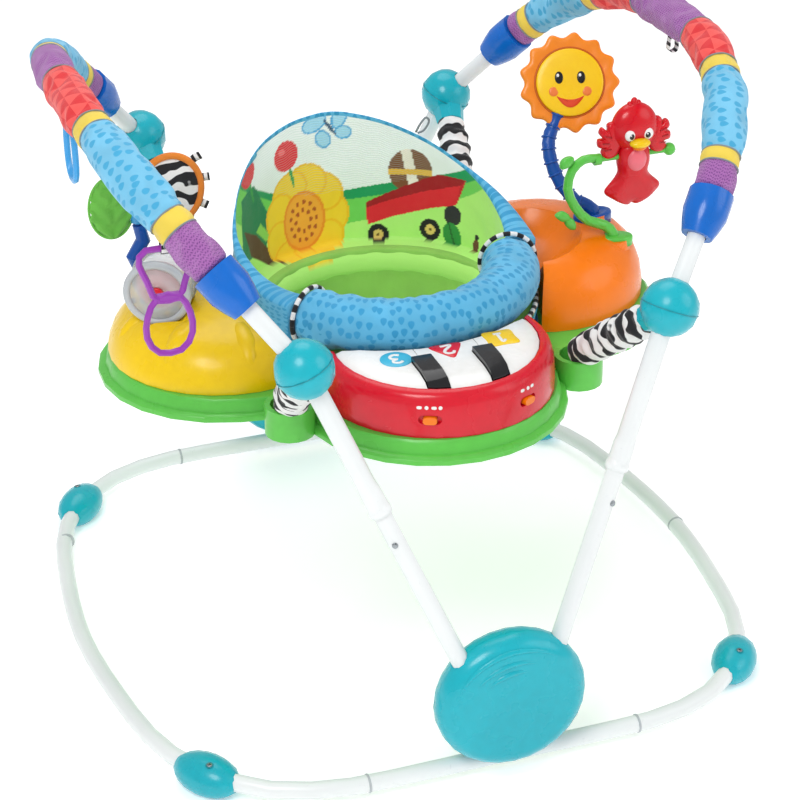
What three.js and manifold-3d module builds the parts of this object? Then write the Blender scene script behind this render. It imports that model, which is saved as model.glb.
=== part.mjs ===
import * as THREE from 'three';
import Module from 'manifold-3d';
import { mergeVertices } from 'three/addons/utils/BufferGeometryUtils.js';

// Baby activity jumper. Millimetres, +Z up, front at -Y, +X to the right seen from the front.
// Origin: on the floor, at the centre of the base ring.

const wasm = await Module();
wasm.setup();
const { Manifold, Mesh } = wasm;

// ---------------------------------------------------------------- driving dimensions
const GAP = 0.3;
const FACET = 0.05;
const TUBE_R = 11.3;
const TUBE_SIDES = 10;

// Base ring, one quarter of its centre line from the front-centre to the side.
const RING_Z = 20;
const RING_QUARTER = [[0, -427], [110, -428], [205, -425], [285, -401], [351, -343], [390, -270], [415, -140],
  [426, 0]];
const FOOT_AT = 0.515;
const RUN_STEP = 4;
const FOOT_HALF = [47, 29, 25];

// Hub pods where two legs and the base ring meet.
const HUB_Y = 440;
const HUB_Z = 114;
const HUB_HALF_W = 95;
const HUB_HALF_H = 90;
const HUB_PROFILE = [[0, 1], [8, 0.995], [17, 0.95], [23, 0.87], [26, 0.76]];

// Legs, from the pod up to the corner ball joint.
const LEG_FOOT = new THREE.Vector3(67, 437, 187);
const BALL = new THREE.Vector3(222, 371, 559);
const BALL_R = 35;
const LEG_SINK = 0.1;
const LEG_SPLIT = 0.53;
const COLLAR_R = 13.6;

// Arch: two planes leaning outward, each a straight rise, an arc and a flat top.
const ARCH_LEAN = THREE.MathUtils.degToRad(37.8);
const ARCH_START = THREE.MathUtils.degToRad(26.4);
const ARCH_RISE = 121;
const ARCH_R = 295;
const CAP_FROM = 92;
const CAP_LENGTH = 56;
const CAP_R = 27;
const SLEEVE_FROM = 142;
const SLEEVE_R = 23.5;

// Tray: lobed shell with a round seat opening and four tether bosses.
const LOBES = [[-205, 15, 168], [211, 18, 171], [0, -175, 168], [0, 0, 236]];
const TRAY_BOTTOM = 382;
const DECK_Z = 408;
const TRAY_WALL = 4;
const OPENING_R = 168;
const TRAY_SIDES = 56;
const BOSS = new THREE.Vector3(188, 191, 420);
const BOSS_R = 31;
const POCKET_R = 24;

// Seat, turning about the vertical axis through the origin.
const SEAT_SIDES = 30;
const SEAT_CLEAR_R = 203;
const ROLL_R = 160;
const ROLL_SECTION = 37.5;
const ROLL_Z = 482.5;
const ROLL_FROM = 215;
const ROLL_TO = 351;
const WRAP_INNER = 184;
const WRAP_OUTER = 198;
const WRAP_SWELL = 26;
const SEAT_BASE_Z = 444.5;
// Angle in degrees and height of the back's top edge, anticlockwise from the right end.
const WRAP_TOP = [[-8, 512], [0, 514], [16, 534], [34, 560], [53, 592], [72, 618], [92, 636], [112, 632],
  [130, 617], [145, 592], [160, 565], [175, 540], [190, 521], [204, 513], [214.3, 512]];

// Tether sleeves between the corner balls and the tray bosses.
const TETHER_FROM = 48;
const TETHER_SECTION = [19, 21, 18.5, 21.5, 19, 21.5, 18.5, 21, 18];

// Stations on the tray deck.
const STATION_BASE_Z = DECK_Z + GAP;
const STATION_WALL = 5;
const HOLLOW_TOP = 448;
const YELLOW_AT = [-208, 20];
const ORANGE_AT = [222, 34];
const PIANO_AT = [4, -178];
const PIANO_R = 146;
const PIANO_TOP = 464;
const KEYBED_R = 127;
const KEYBED_FLOOR = 450;
const KEY_BASE = 454;
const KEY_TOP = 471;
const KEY_INNER_R = 207;
const KEY_SPLITS = [-35, 43];
const BLACK_HALF = 12.5;
const BLACK_Y = [-304, -232];
const KEY_PLAY = 1;
const SWITCH_ANGLES = [-113, -61];
const SWITCH_Z = 432;

// Toys.
const SUN_AT = new THREE.Vector3(292, 96, 662);
const SUN_R = 66;
const SUN_FACE_R = 44;
const SUN_WAVE = 3.5;
const STALK_PATH = [[298, 24, 478], [297, 25, 512], [277, 34, 523], [261, 48, 545], [253, 62, 573],
  [255, 74, 596], [265, 82, 612], [275, 86, 633]];
const HOOP_PATH = [[308, -24, 462], [307, -24, 494], [294, -23, 508], [271, -23, 518], [252, -22, 540],
  [242, -22, 566], [248, -21, 590], [264, -20, 602], [284, -18, 601]];
const HOOP_R = 7.5;
const BIRD_AXLE = new THREE.Vector3(334, -18, 599);
const AXLE_R = 4;
const DRUM_AT = new THREE.Vector3(-290, 8, 505);
const DRUM_R = 42;
const DRUM_HALF = 27;
const DRUM_AXIS = new THREE.Vector3(0.45, 0.89, 0).normalize();
const FLUTTER_AT = [-296, 88];
const LINK_ROD = 4;
const LINK_DROP = 17;
const EIGHT_TOP = [[-22, 0], [-8, 0], [8, 0], [22, 0], [31, -10], [22, -40], [13, -62],
  [-13, -62], [-22, -40], [-31, -10]];
const EIGHT_LOW = [[-12, -60], [12, -60], [25, -84], [26, -110], [14, -128],
  [-14, -128], [-26, -110], [-25, -84]];
const OVAL_LINK = [[-14, 0], [-7, 0], [7, 0], [14, 0], [21, -14], [21, -56], [10, -70],
  [-10, -70], [-21, -56], [-21, -14]];
const ROUND_LINK = [[-12, 0], [-7, 0], [7, 0], [12, 0], [19, -14], [18, -34], [8, -44],
  [-8, -44], [-18, -34], [-19, -14]];
const PURPLE_AT = 233;
const BLUE_LINK_AT = 510;
const SPARE_TAB_AT = 495;
const ORANGE_LINK_AT = 207;
const ORANGE_EXTRA = 6;

// ---------------------------------------------------------------- palette
const TEAL = [0x20b2be, 0.35];
const WHITE = [0xe9ecec, 0.35];
const BLUE = [0x0a62c8, 0.35];
const SKY = [0x5dbbea, 0.9];
const GREEN = [0x5cc34c, 0.35];
const YELLOW = [0xf2cf0e, 0.35];
const ORANGE = [0xf57a0a, 0.35];
const RED = [0xe3202e, 0.3];
const BLACK = [0x17171a, 0.3];
const PURPLE = [0xa23fb0, 0.35];
const MESH_WHITE = [0xdde8e6, 0.9];

const group = new THREE.Group();
group.name = 'activity_jumper';

// ---------------------------------------------------------------- solid helpers
function toSolid(geometry) {
  const bare = geometry.clone();
  bare.deleteAttribute('normal');
  bare.deleteAttribute('uv');
  const merged = mergeVertices(bare, 1e-4);
  return new Manifold(new Mesh({
    numProp: 3,
    vertProperties: new Float32Array(merged.attributes.position.array),
    triVerts: new Uint32Array(merged.index.array),
  }));
}

function toGeometry(solid) {
  const mesh = solid.getMesh();
  const geometry = new THREE.BufferGeometry();
  geometry.setAttribute('position', new THREE.BufferAttribute(new Float32Array(mesh.vertProperties), 3));
  geometry.setIndex(new THREE.BufferAttribute(new Uint32Array(mesh.triVerts), 1));
  geometry.computeVertexNormals();
  return geometry;
}

function signedVolume(points, index) {
  let total = 0;
  for (let i = 0; i < index.length; i += 3) {
    const [a, b, c] = [points[index[i]], points[index[i + 1]], points[index[i + 2]]];
    total += a.dot(new THREE.Vector3().crossVectors(b, c));
  }
  return total;
}

// Skins a row of equal-count point rings. Capped at both ends unless it closes on itself.
function loft(rings, closed = false) {
  const count = rings[0].length;
  const points = rings.flat();
  const index = [];
  const spans = closed ? rings.length : rings.length - 1;
  for (let i = 0; i < spans; i += 1) {
    const a = i * count;
    const b = ((i + 1) % rings.length) * count;
    for (let j = 0; j < count; j += 1) {
      const k = (j + 1) % count;
      index.push(a + j, a + k, b + k, a + j, b + k, b + j);
    }
  }
  if (!closed) {
    fan(points, index, 0, count, true);
    fan(points, index, (rings.length - 1) * count, count, false);
  }
  if (signedVolume(points, index) < 0) {
    for (let i = 0; i < index.length; i += 3) {
      [index[i], index[i + 1]] = [index[i + 1], index[i]];
    }
  }
  const geometry = new THREE.BufferGeometry().setFromPoints(points);
  geometry.setIndex(index);
  return toSolid(geometry);
}

function fan(points, index, first, count, flip) {
  const centre = new THREE.Vector3();
  for (let j = 0; j < count; j += 1) {
    centre.add(points[first + j]);
  }
  points.push(centre.divideScalar(count));
  const tip = points.length - 1;
  for (let j = 0; j < count; j += 1) {
    const k = (j + 1) % count;
    const [a, b] = flip ? [first + k, first + j] : [first + j, first + k];
    index.push(tip, a, b);
  }
}

// Rings of a round section carried along a path without twist.
function pathRings(path, radii, sides) {
  const at = (i) => (typeof radii === 'number' ? radii : radii[i]);
  const tangents = path.map((point, i) => {
    if (point.heading) {
      return point.heading;
    }
    const before = path[Math.max(i - 1, 0)];
    const after = path[Math.min(i + 1, path.length - 1)];
    return new THREE.Vector3().subVectors(after, before).normalize();
  });
  const start = Math.abs(tangents[0].z) < 0.9 ? new THREE.Vector3(0, 0, 1) : new THREE.Vector3(1, 0, 0);
  let side = new THREE.Vector3().crossVectors(start, tangents[0]).normalize();
  return path.map((point, i) => {
    const along = tangents[i];
    side = side.clone().addScaledVector(along, -side.dot(along)).normalize();
    const up = new THREE.Vector3().crossVectors(along, side);
    return circleRing(point, side, up, at(i), at(i), sides);
  });
}

function circleRing(centre, side, up, a, b, sides) {
  const ring = [];
  for (let j = 0; j < sides; j += 1) {
    const turn = (2 * Math.PI * j) / sides;
    ring.push(centre.clone()
      .addScaledVector(side, a * Math.cos(turn))
      .addScaledVector(up, b * Math.sin(turn)));
  }
  return ring;
}

function rod(path, radii, sides = TUBE_SIDES) {
  return loft(pathRings(path, radii, sides));
}

function ball(centre, radii, sides = 14, bands = 9) {
  const geometry = new THREE.SphereGeometry(1, sides, bands);
  geometry.rotateX(Math.PI / 2);
  geometry.scale(...radii);
  geometry.translate(centre.x, centre.y, centre.z);
  return toSolid(geometry);
}

function box(centre, size) {
  const geometry = new THREE.BoxGeometry(...size);
  geometry.translate(...centre);
  return toSolid(geometry);
}

function upright(centre, radius, fromZ, toZ, sides = 20, topRadius = radius) {
  const geometry = new THREE.CylinderGeometry(topRadius, radius, toZ - fromZ, sides);
  geometry.rotateX(Math.PI / 2);
  geometry.translate(centre[0], centre[1], (fromZ + toZ) / 2);
  return toSolid(geometry);
}

// A flat outline given thickness along its local Z, then placed by a matrix.
function slab(shape, depth, matrix, curveSegments = 6) {
  const geometry = new THREE.ExtrudeGeometry(shape, { depth, bevelEnabled: false, curveSegments });
  geometry.applyMatrix4(matrix);
  return toSolid(geometry);
}

function placed(centre, xAxis, yAxis) {
  const x = xAxis.clone().normalize();
  const z = new THREE.Vector3().crossVectors(x, yAxis).normalize();
  const y = new THREE.Vector3().crossVectors(z, x);
  return new THREE.Matrix4().makeBasis(x, y, z).setPosition(centre);
}

function mirrored(solid, sx, sy) {
  let result = solid;
  if (sx < 0) {
    result = result.mirror([1, 0, 0]);
  }
  if (sy < 0) {
    result = result.mirror([0, 1, 0]);
  }
  return result;
}

function add(name, solid, [color, roughness], metalness = 0) {
  const material = new THREE.MeshStandardMaterial({ color, roughness, metalness });
  const mesh = new THREE.Mesh(toGeometry(solid.simplify(FACET)), material);
  mesh.name = name;
  group.add(mesh);
}

const X_AXIS = new THREE.Vector3(1, 0, 0);
const Y_AXIS = new THREE.Vector3(0, 1, 0);
const CORNERS = [['front_left', -1, -1], ['front_right', 1, -1], ['rear_left', -1, 1], ['rear_right', 1, 1]];
const SIDES = [['left', -1], ['right', 1]];
const ENDS = [['front', -1], ['rear', 1]];

// ---------------------------------------------------------------- frame
function ringCurve() {
  const quarter = RING_QUARTER.map(([x, y]) => new THREE.Vector3(x, y, RING_Z));
  const rear = quarter.slice(0, -1).reverse().map((p) => new THREE.Vector3(p.x, -p.y, p.z));
  return new THREE.CatmullRomCurve3([...quarter, ...rear]);
}

// Half ring on the +X side, from the front centre to the rear centre, as evenly spaced points.
const RING_STEPS = 120;
const HALF_RING = ringCurve().getSpacedPoints(RING_STEPS);

// The half ring's point at the middle of the front foot.
function footIndex() {
  return Math.round((RING_STEPS / 2) * FOOT_AT);
}

function pick(from, to, step) {
  const points = [];
  for (let i = from; i < to; i += step) {
    points.push(HALF_RING[i]);
  }
  points.push(HALF_RING[to]);
  return points;
}

function frontRun() {
  const right = pick(0, footIndex() - 1, RUN_STEP);
  const left = right.slice(1).reverse().map((p) => new THREE.Vector3(-p.x, p.y, p.z));
  return [...left, ...right];
}

function sideRun() {
  const corner = footIndex() + 1;
  return pick(corner, HALF_RING.length - 1 - corner, RUN_STEP);
}

function baseRing() {
  const front = rod(frontRun(), TUBE_R);
  const right = rod(sideRun(), TUBE_R);
  add('base_tube_front', front, WHITE);
  add('base_tube_rear', mirrored(front, 1, -1), WHITE);
  add('base_tube_right', right, WHITE);
  add('base_tube_left', mirrored(right, -1, 1), WHITE);
}

function corner() {
  const middle = HALF_RING[footIndex()];
  const next = HALF_RING[footIndex() + 1];
  return { middle, along: new THREE.Vector3().subVectors(next, middle).normalize() };
}

function feet() {
  const { middle, along } = corner();
  const egg = ball(new THREE.Vector3(), FOOT_HALF, 16, 8)
    .rotate([0, 0, THREE.MathUtils.radToDeg(Math.atan2(along.y, along.x))])
    .translate([middle.x, middle.y, RING_Z - 1]);
  const flat = egg.subtract(box([middle.x, middle.y, -50], [200, 200, 100]));
  const channels = [rod(frontRun(), TUBE_R + GAP), rod(sideRun(), TUBE_R + GAP)];
  const foot = mirrored(flat.subtract(channels[0]).subtract(channels[1]), 1, -1);
  CORNERS.forEach(([name, sx, sy]) => add(`foot_${name}`, mirrored(foot, sx, sy), TEAL));
}

function legPoint(t) {
  return LEG_FOOT.clone().lerp(BALL, t);
}

function hubHalf(outward) {
  const rings = HUB_PROFILE.map(([depth, scale]) => circleRing(
    new THREE.Vector3(0, HUB_Y + outward * depth, HUB_Z),
    new THREE.Vector3(1, 0, 0),
    new THREE.Vector3(0, 0, 1),
    HUB_HALF_W * scale,
    HUB_HALF_H * scale,
    28,
  ));
  rings[0].forEach((p) => { p.y += outward * 0.15; });
  let half = loft(rings);
  SIDES.forEach(([, sx]) => {
    const path = [legPoint(-LEG_SINK - 0.02), legPoint(0.4)];
    half = half.subtract(mirrored(rod(path, TUBE_R + GAP), sx, 1));
  });
  return half.subtract(mirrored(rod(frontRun(), TUBE_R + GAP), 1, -1));
}

function hubs() {
  const cover = hubHalf(1);
  const shell = hubHalf(-1);
  ENDS.forEach(([name, sy]) => {
    add(`hub_cover_${name}`, mirrored(cover, 1, sy), TEAL);
    add(`hub_shell_${name}`, mirrored(shell, 1, sy), TEAL);
  });
}

// Lower tube plugs into the flared end of the upper tube.
function legs() {
  const inset = 0.06;
  const lower = rod([legPoint(-LEG_SINK), legPoint(LEG_SPLIT - 0.004)], TUBE_R);
  const upperPath = [LEG_SPLIT, LEG_SPLIT + inset, LEG_SPLIT + inset + 0.02, 0.97].map(legPoint);
  const upper = rod(upperPath, [COLLAR_R, COLLAR_R - 0.4, TUBE_R + 0.7, TUBE_R + 0.7]);
  CORNERS.forEach(([name, sx, sy]) => {
    add(`leg_lower_${name}`, mirrored(lower, sx, sy), WHITE);
    add(`leg_upper_${name}`, mirrored(upper, sx, sy), WHITE);
  });
}

// Distance along an arch from the rear ball, turned into a point on its centre line (+X side).
const ARC_LENGTH = ARCH_R * (Math.PI / 2 - ARCH_START);
const ARC_START_Y = BALL.y - ARCH_RISE * Math.sin(ARCH_START);
const FLAT_HALF = ARC_START_Y - ARCH_R * Math.cos(ARCH_START);
const ARCH_HALF = ARCH_RISE + ARC_LENGTH + FLAT_HALF;

function archPoint(distance) {
  const near = Math.min(distance, 2 * ARCH_HALF - distance);
  const [u, y] = archSection(near);
  const back = distance > ARCH_HALF ? -1 : 1;
  return new THREE.Vector3(BALL.x + u * Math.sin(ARCH_LEAN), y * back, BALL.z + u * Math.cos(ARCH_LEAN));
}

function archSection(distance) {
  const rise = Math.min(distance, ARCH_RISE);
  const turn = ARCH_START + Math.min(Math.max(distance - ARCH_RISE, 0), ARC_LENGTH) / ARCH_R;
  const flat = Math.max(distance - ARCH_RISE - ARC_LENGTH, 0);
  const u = rise * Math.cos(ARCH_START) + ARCH_R * (Math.sin(turn) - Math.sin(ARCH_START));
  const y = BALL.y - rise * Math.sin(ARCH_START) - ARCH_R * (Math.cos(ARCH_START) - Math.cos(turn)) - flat;
  return [u, y];
}

function archPath(from, to, steps) {
  const points = [];
  for (let i = 0; i <= steps; i += 1) {
    const distance = from + ((to - from) * i) / steps;
    const point = archPoint(distance);
    point.heading = archPoint(distance + 0.5).sub(archPoint(distance - 0.5)).normalize();
    points.push(point);
  }
  return points;
}

function tetherLine() {
  return new THREE.Vector3().subVectors(BOSS, BALL).normalize();
}

function balls() {
  const along = tetherLine();
  const neck = rod([BALL, BALL.clone().addScaledVector(along, 47)], [25, 19], 8);
  const joint = ball(BALL, [BALL_R, BALL_R, BALL_R], 14, 9)
    .add(neck)
    .subtract(rod([legPoint(0.5), legPoint(0.974)], TUBE_R + 0.7 + GAP))
    .subtract(rod(archPath(9, 80, 1), TUBE_R + 0.9, 12));
  CORNERS.forEach(([name, sx, sy]) => add(`joint_ball_${name}`, mirrored(joint, sx, sy), TEAL));
}

function arches() {
  const total = 2 * ARCH_HALF;
  const middle = archPath(SLEEVE_FROM + 36, total - SLEEVE_FROM - 36, 16);
  const path = [...archPath(10, SLEEVE_FROM, 2), ...middle, ...archPath(total - SLEEVE_FROM, total - 10, 2)];
  const tube = rod(path, TUBE_R);
  const bore = rod(archPath(CAP_FROM - 30, CAP_FROM + 90, 3), TUBE_R + 0.9, 12);
  const capPath = archPath(CAP_FROM, CAP_FROM + CAP_LENGTH, 4);
  const cap = rod(capPath, [19, 23.5, CAP_R, CAP_R, CAP_R], 14).subtract(bore);
  SIDES.forEach(([name, sx]) => {
    add(`arch_tube_${name}`, mirrored(tube, sx, 1), WHITE);
    ENDS.forEach(([end, sy]) => {
      add(`arch_cap_${end}_${name}`, mirrored(cap, sx, sy), BLUE);
    });
  });
}

// Padded tube of fabric round an arch, from inside one cap to inside the other.
function sleeveBody() {
  const total = 2 * ARCH_HALF;
  const from = CAP_FROM + CAP_LENGTH + GAP;
  const outer = rod(archPath(from, total - from, 18), SLEEVE_R, 12);
  const inner = rod(archPath(from - 20, total - from + 20, 18), TUBE_R + 1.6, 8);
  return outer.subtract(inner);
}

// A loop of webbing sewn under the sleeve. The bar it carries lies at the given point, along facing.
function loopTab(bar, facing, extra = 0, width = 11) {
  const outer = LINK_ROD + 3.4;
  const inner = LINK_ROD + 1.2;
  const rise = LINK_DROP + 7 + extra;
  const shape = new THREE.Shape();
  shape.moveTo(-outer, rise);
  shape.lineTo(-outer, 0);
  shape.absarc(0, 0, outer, Math.PI, 2 * Math.PI, false);
  shape.lineTo(outer, rise);
  const hole = new THREE.Path();
  hole.moveTo(-inner, 10);
  hole.lineTo(inner, 10);
  hole.lineTo(inner, 0);
  hole.absarc(0, 0, inner, 0, Math.PI, true);
  shape.holes.push(hole);
  const across = new THREE.Vector3().crossVectors(new THREE.Vector3(0, 0, 1), facing);
  const matrix = placed(bar.clone().addScaledVector(facing, -width / 2), across, new THREE.Vector3(0, 0, 1));
  return slab(shape, width, matrix, 4);
}

// Where a link's top bar hangs: under the arch on the given side, in its webbing loop.
function hangPoint(side, frontDistance, inset = 0, extra = 0) {
  const p = archPoint(2 * ARCH_HALF - frontDistance);
  return new THREE.Vector3(side * (p.x - inset), p.y, p.z - SLEEVE_R - LINK_DROP - extra);
}

function linkHangers() {
  return [
    hangPoint(-1, PURPLE_AT),
    hangPoint(-1, BLUE_LINK_AT),
    hangPoint(1, ORANGE_LINK_AT, 20, ORANGE_EXTRA),
  ];
}

function sleeves() {
  const [purple, blue, orange] = linkHangers();
  const spare = hangPoint(1, SPARE_TAB_AT);
  const body = sleeveBody();
  const bore = rod(archPath(0, 2 * ARCH_HALF, 24), TUBE_R + 1.6, 10);
  const keep = (tab) => tab.subtract(bore).subtract(mirrored(bore, -1, 1));
  const left = mirrored(body, -1, 1).add(keep(loopTab(purple, X_AXIS))).add(keep(loopTab(blue, Y_AXIS)));
  const right = body.add(keep(loopTab(orange, X_AXIS, ORANGE_EXTRA + 8))).add(keep(loopTab(spare, Y_AXIS)));
  add('arch_sleeve_left', left, SKY);
  add('arch_sleeve_right', right, SKY);
}

baseRing();
feet();
hubs();
legs();
balls();
arches();
sleeves();

// ---------------------------------------------------------------- tray
function lobeRadius(angle) {
  const [c, s] = [Math.cos(angle), Math.sin(angle)];
  let best = 0;
  LOBES.forEach(([x, y, r]) => {
    const along = x * c + y * s;
    const across = x * x + y * y - along * along;
    if (across < r * r) {
      best = Math.max(best, along + Math.sqrt(r * r - across));
    }
  });
  return best;
}

function trayRadius(angle) {
  let total = 0;
  for (let k = -3; k <= 3; k += 1) {
    total += lobeRadius(angle + k * 0.03);
  }
  return total / 7;
}

function trayRing(offset, z, fixedRadius) {
  const ring = [];
  for (let j = 0; j < TRAY_SIDES; j += 1) {
    const turn = (2 * Math.PI * j) / TRAY_SIDES;
    const radius = fixedRadius ?? trayRadius(turn) - offset;
    ring.push(new THREE.Vector3(radius * Math.cos(turn), radius * Math.sin(turn), z));
  }
  return ring;
}

function trayShell() {
  const deck = DECK_Z;
  const under = deck - TRAY_WALL;
  return loft([
    trayRing(0, TRAY_BOTTOM),
    trayRing(0, TRAY_BOTTOM + 6),
    trayRing(3, TRAY_BOTTOM + 9),
    trayRing(9, TRAY_BOTTOM + 10),
    trayRing(12, deck - 4),
    trayRing(16, deck),
    trayRing(0, deck, OPENING_R + 3),
    trayRing(0, deck - 3, OPENING_R),
    trayRing(0, TRAY_BOTTOM, OPENING_R),
    trayRing(0, TRAY_BOTTOM, OPENING_R + TRAY_WALL),
    trayRing(0, under, OPENING_R + TRAY_WALL + 3),
    trayRing(18, under),
    trayRing(14, TRAY_BOTTOM + 8),
    trayRing(4, TRAY_BOTTOM + 5),
    trayRing(3, TRAY_BOTTOM),
  ], true);
}

function trayBase() {
  let tray = trayShell();
  CORNERS.forEach(([, sx, sy]) => {
    const at = [BOSS.x * sx, BOSS.y * sy];
    tray = tray.subtract(upright(at, BOSS_R - 3, TRAY_BOTTOM - 5, BOSS.z + 5));
    const cup = upright(at, BOSS_R, TRAY_BOTTOM, BOSS.z, 18)
      .subtract(upright(at, POCKET_R, TRAY_BOTTOM + 5, BOSS.z + 5, 14));
    tray = tray.add(cup);
  });
  add('tray_base', tray, GREEN);
}
trayBase();

// ---------------------------------------------------------------- stations
function domeRing([x, y], rx, ry, z, sides = 32) {
  return circleRing(new THREE.Vector3(x, y, z), X_AXIS, Y_AXIS, rx, ry, sides);
}

function seatClearance(top) {
  return upright([0, 0], SEAT_CLEAR_R, DECK_Z - 5, top, 48);
}

function bossClearance(solid, margin = 16) {
  let result = solid;
  CORNERS.forEach(([, sx, sy]) => {
    result = result.subtract(upright([BOSS.x * sx, BOSS.y * sy], BOSS_R + margin, DECK_Z - 5, 640, 18));
  });
  return result;
}

// The stations are moulded hollow and open underneath.
function hollowed(solid, at, radius, top) {
  const space = upright(at, radius - STATION_WALL, DECK_Z - 10, top, 24, radius - 2 * STATION_WALL)
    .subtract(upright([0, 0], SEAT_CLEAR_R + STATION_WALL, DECK_Z - 12, top + 5, 30));
  return solid.subtract(bossClearance(space, 16 + STATION_WALL));
}

function yellowStation() {
  const z = STATION_BASE_Z;
  let dome = loft([
    domeRing(YELLOW_AT, 149, 149, z),
    domeRing(YELLOW_AT, 148, 148, z + 12),
    domeRing(YELLOW_AT, 140, 140, z + 32),
    domeRing(YELLOW_AT, 126, 126, z + 48),
    domeRing([YELLOW_AT[0] - 2, YELLOW_AT[1]], 104, 104, z + 60),
    domeRing([YELLOW_AT[0] - 4, YELLOW_AT[1] + 4], 76, 76, z + 67),
    domeRing([YELLOW_AT[0] - 6, YELLOW_AT[1] + 6], 40, 40, z + 70),
  ]);
  dome = bossClearance(dome.subtract(seatClearance(600)));
  const well = drumCylinder(DRUM_R + 3, DRUM_HALF + 4, 24);
  dome = hollowed(dome, YELLOW_AT, 138, HOLLOW_TOP).subtract(well);
  const collar = upright(FLUTTER_AT, 18, HOLLOW_TOP - 2, 474, 14, 15);
  const socket = upright(FLUTTER_AT, 11, HOLLOW_TOP + 10, 520, 14);
  add('yellow_station', dome.add(collar).subtract(socket), YELLOW);
}

function drumCylinder(radius, half, sides) {
  const offset = DRUM_AXIS.clone().multiplyScalar(half);
  return rod([DRUM_AT.clone().sub(offset), DRUM_AT.clone().add(offset)], radius, sides);
}
yellowStation();

function orangeStation() {
  const z = STATION_BASE_Z;
  let dome = loft([
    domeRing(ORANGE_AT, 141, 141, z),
    domeRing(ORANGE_AT, 141, 141, z + 14),
    domeRing(ORANGE_AT, 137, 137, z + 40),
    domeRing([ORANGE_AT[0] + 4, ORANGE_AT[1]], 124, 126, z + 62),
    domeRing([ORANGE_AT[0] + 8, ORANGE_AT[1]], 104, 108, z + 78),
    domeRing([ORANGE_AT[0] + 12, ORANGE_AT[1]], 76, 80, z + 88),
    domeRing([ORANGE_AT[0] + 14, ORANGE_AT[1]], 38, 42, z + 92),
  ]);
  dome = bossClearance(dome.subtract(seatClearance(600)));
  const scoop = ball(new THREE.Vector3(196, 10, 520), [80, 84, 66], 18, 10);
  dome = hollowed(dome.subtract(scoop), ORANGE_AT, 134, HOLLOW_TOP);
  [vectors(STALK_PATH), vectors(HOOP_PATH)].forEach((path) => {
    const at = [path[0].x, path[0].y];
    dome = dome.add(upright(at, 24, DECK_Z + 30, path[1].z - 6, 14, 19));
    const [root] = path;
    dome = dome.subtract(rod([root.clone().setZ(root.z - 3), root.clone().setZ(path[1].z + 40)], 12.5, 14));
  });
  add('orange_station', dome, ORANGE);
}
orangeStation();

function vectors(list) {
  return list.map((p) => new THREE.Vector3(...p));
}

function smoothed(list, steps) {
  return new THREE.CatmullRomCurve3(vectors(list), false, 'centripetal').getPoints(steps);
}

// ---------------------------------------------------------------- piano
function pianoRing(radius, z) {
  return domeRing(PIANO_AT, radius, radius, z, 36);
}

function pianoHousing() {
  const z = STATION_BASE_Z;
  let body = loft([
    pianoRing(PIANO_R, z),
    pianoRing(PIANO_R, z + 16),
    pianoRing(PIANO_R - 2, PIANO_TOP - 16),
    pianoRing(PIANO_R - 6, PIANO_TOP - 5),
    pianoRing(PIANO_R - 12, PIANO_TOP),
  ]);
  body = body.subtract(upright(PIANO_AT, KEYBED_R, KEYBED_FLOOR, PIANO_TOP + 10, 36));
  body = bossClearance(body.subtract(seatClearance(600)));
  switchPoints().forEach(({ frame }) => {
    body = body.subtract(slab(stadium(14, 5.5), 6, frame(-5)));
  });
  add('piano_housing', hollowed(body, PIANO_AT, PIANO_R - 8, KEYBED_FLOOR - STATION_WALL), RED);
}

function stadium(halfLength, radius) {
  const shape = new THREE.Shape();
  shape.absarc(halfLength - radius, 0, radius, -Math.PI / 2, Math.PI / 2, false);
  shape.absarc(radius - halfLength, 0, radius, Math.PI / 2, 1.5 * Math.PI, false);
  shape.closePath();
  return shape;
}

// Where each slide switch sits on the housing's front wall.
function switchPoints() {
  return SWITCH_ANGLES.map((degrees) => {
    const turn = THREE.MathUtils.degToRad(degrees);
    const out = new THREE.Vector3(Math.cos(turn), Math.sin(turn), 0);
    const across = new THREE.Vector3(-out.y, out.x, 0);
    const frame = (depth) => placed(
      new THREE.Vector3(PIANO_AT[0], PIANO_AT[1], SWITCH_Z).addScaledVector(out, PIANO_R - 1 + depth),
      across,
      new THREE.Vector3(0, 0, 1),
    );
    return { frame, across };
  });
}

function switches() {
  switchPoints().forEach(({ frame }, i) => {
    const knob = slab(stadium(8.5, 4.6), 7.5, frame(-4.2));
    add(`switch_${i === 0 ? 'volume' : 'power'}`, knob, ORANGE);
  });
}

function keyBlank() {
  const crown = loft([
    pianoRing(KEYBED_R - 1, KEY_BASE),
    pianoRing(KEYBED_R - 1, PIANO_TOP - 1),
    pianoRing(KEYBED_R - 8, PIANO_TOP + 4),
    pianoRing(KEYBED_R - 26, KEY_TOP),
  ]);
  return crown.subtract(upright([0, 0], KEY_INNER_R, 400, 600, 48));
}

function blackSlot(x, grow) {
  const [from, to] = BLACK_Y;
  return box([x, (from + to) / 2, 470], [2 * (BLACK_HALF + grow), to - from + 2 * grow, 80]);
}

function whiteKeys() {
  const edges = [-200, ...KEY_SPLITS, 200];
  for (let i = 0; i < 3; i += 1) {
    const width = edges[i + 1] - edges[i] - KEY_PLAY;
    let key = keyBlank().intersect(box([(edges[i] + edges[i + 1]) / 2, -200, 470], [width, 400, 80]));
    KEY_SPLITS.forEach((x) => {
      key = key.subtract(blackSlot(x, KEY_PLAY));
    });
    key = key.subtract(box([4, (BLACK_Y[0] + BLACK_Y[1]) / 2, KEY_BASE], [110, 14, 7]));
    add(`white_key_${i + 1}`, key, WHITE);
  }
}

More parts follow.
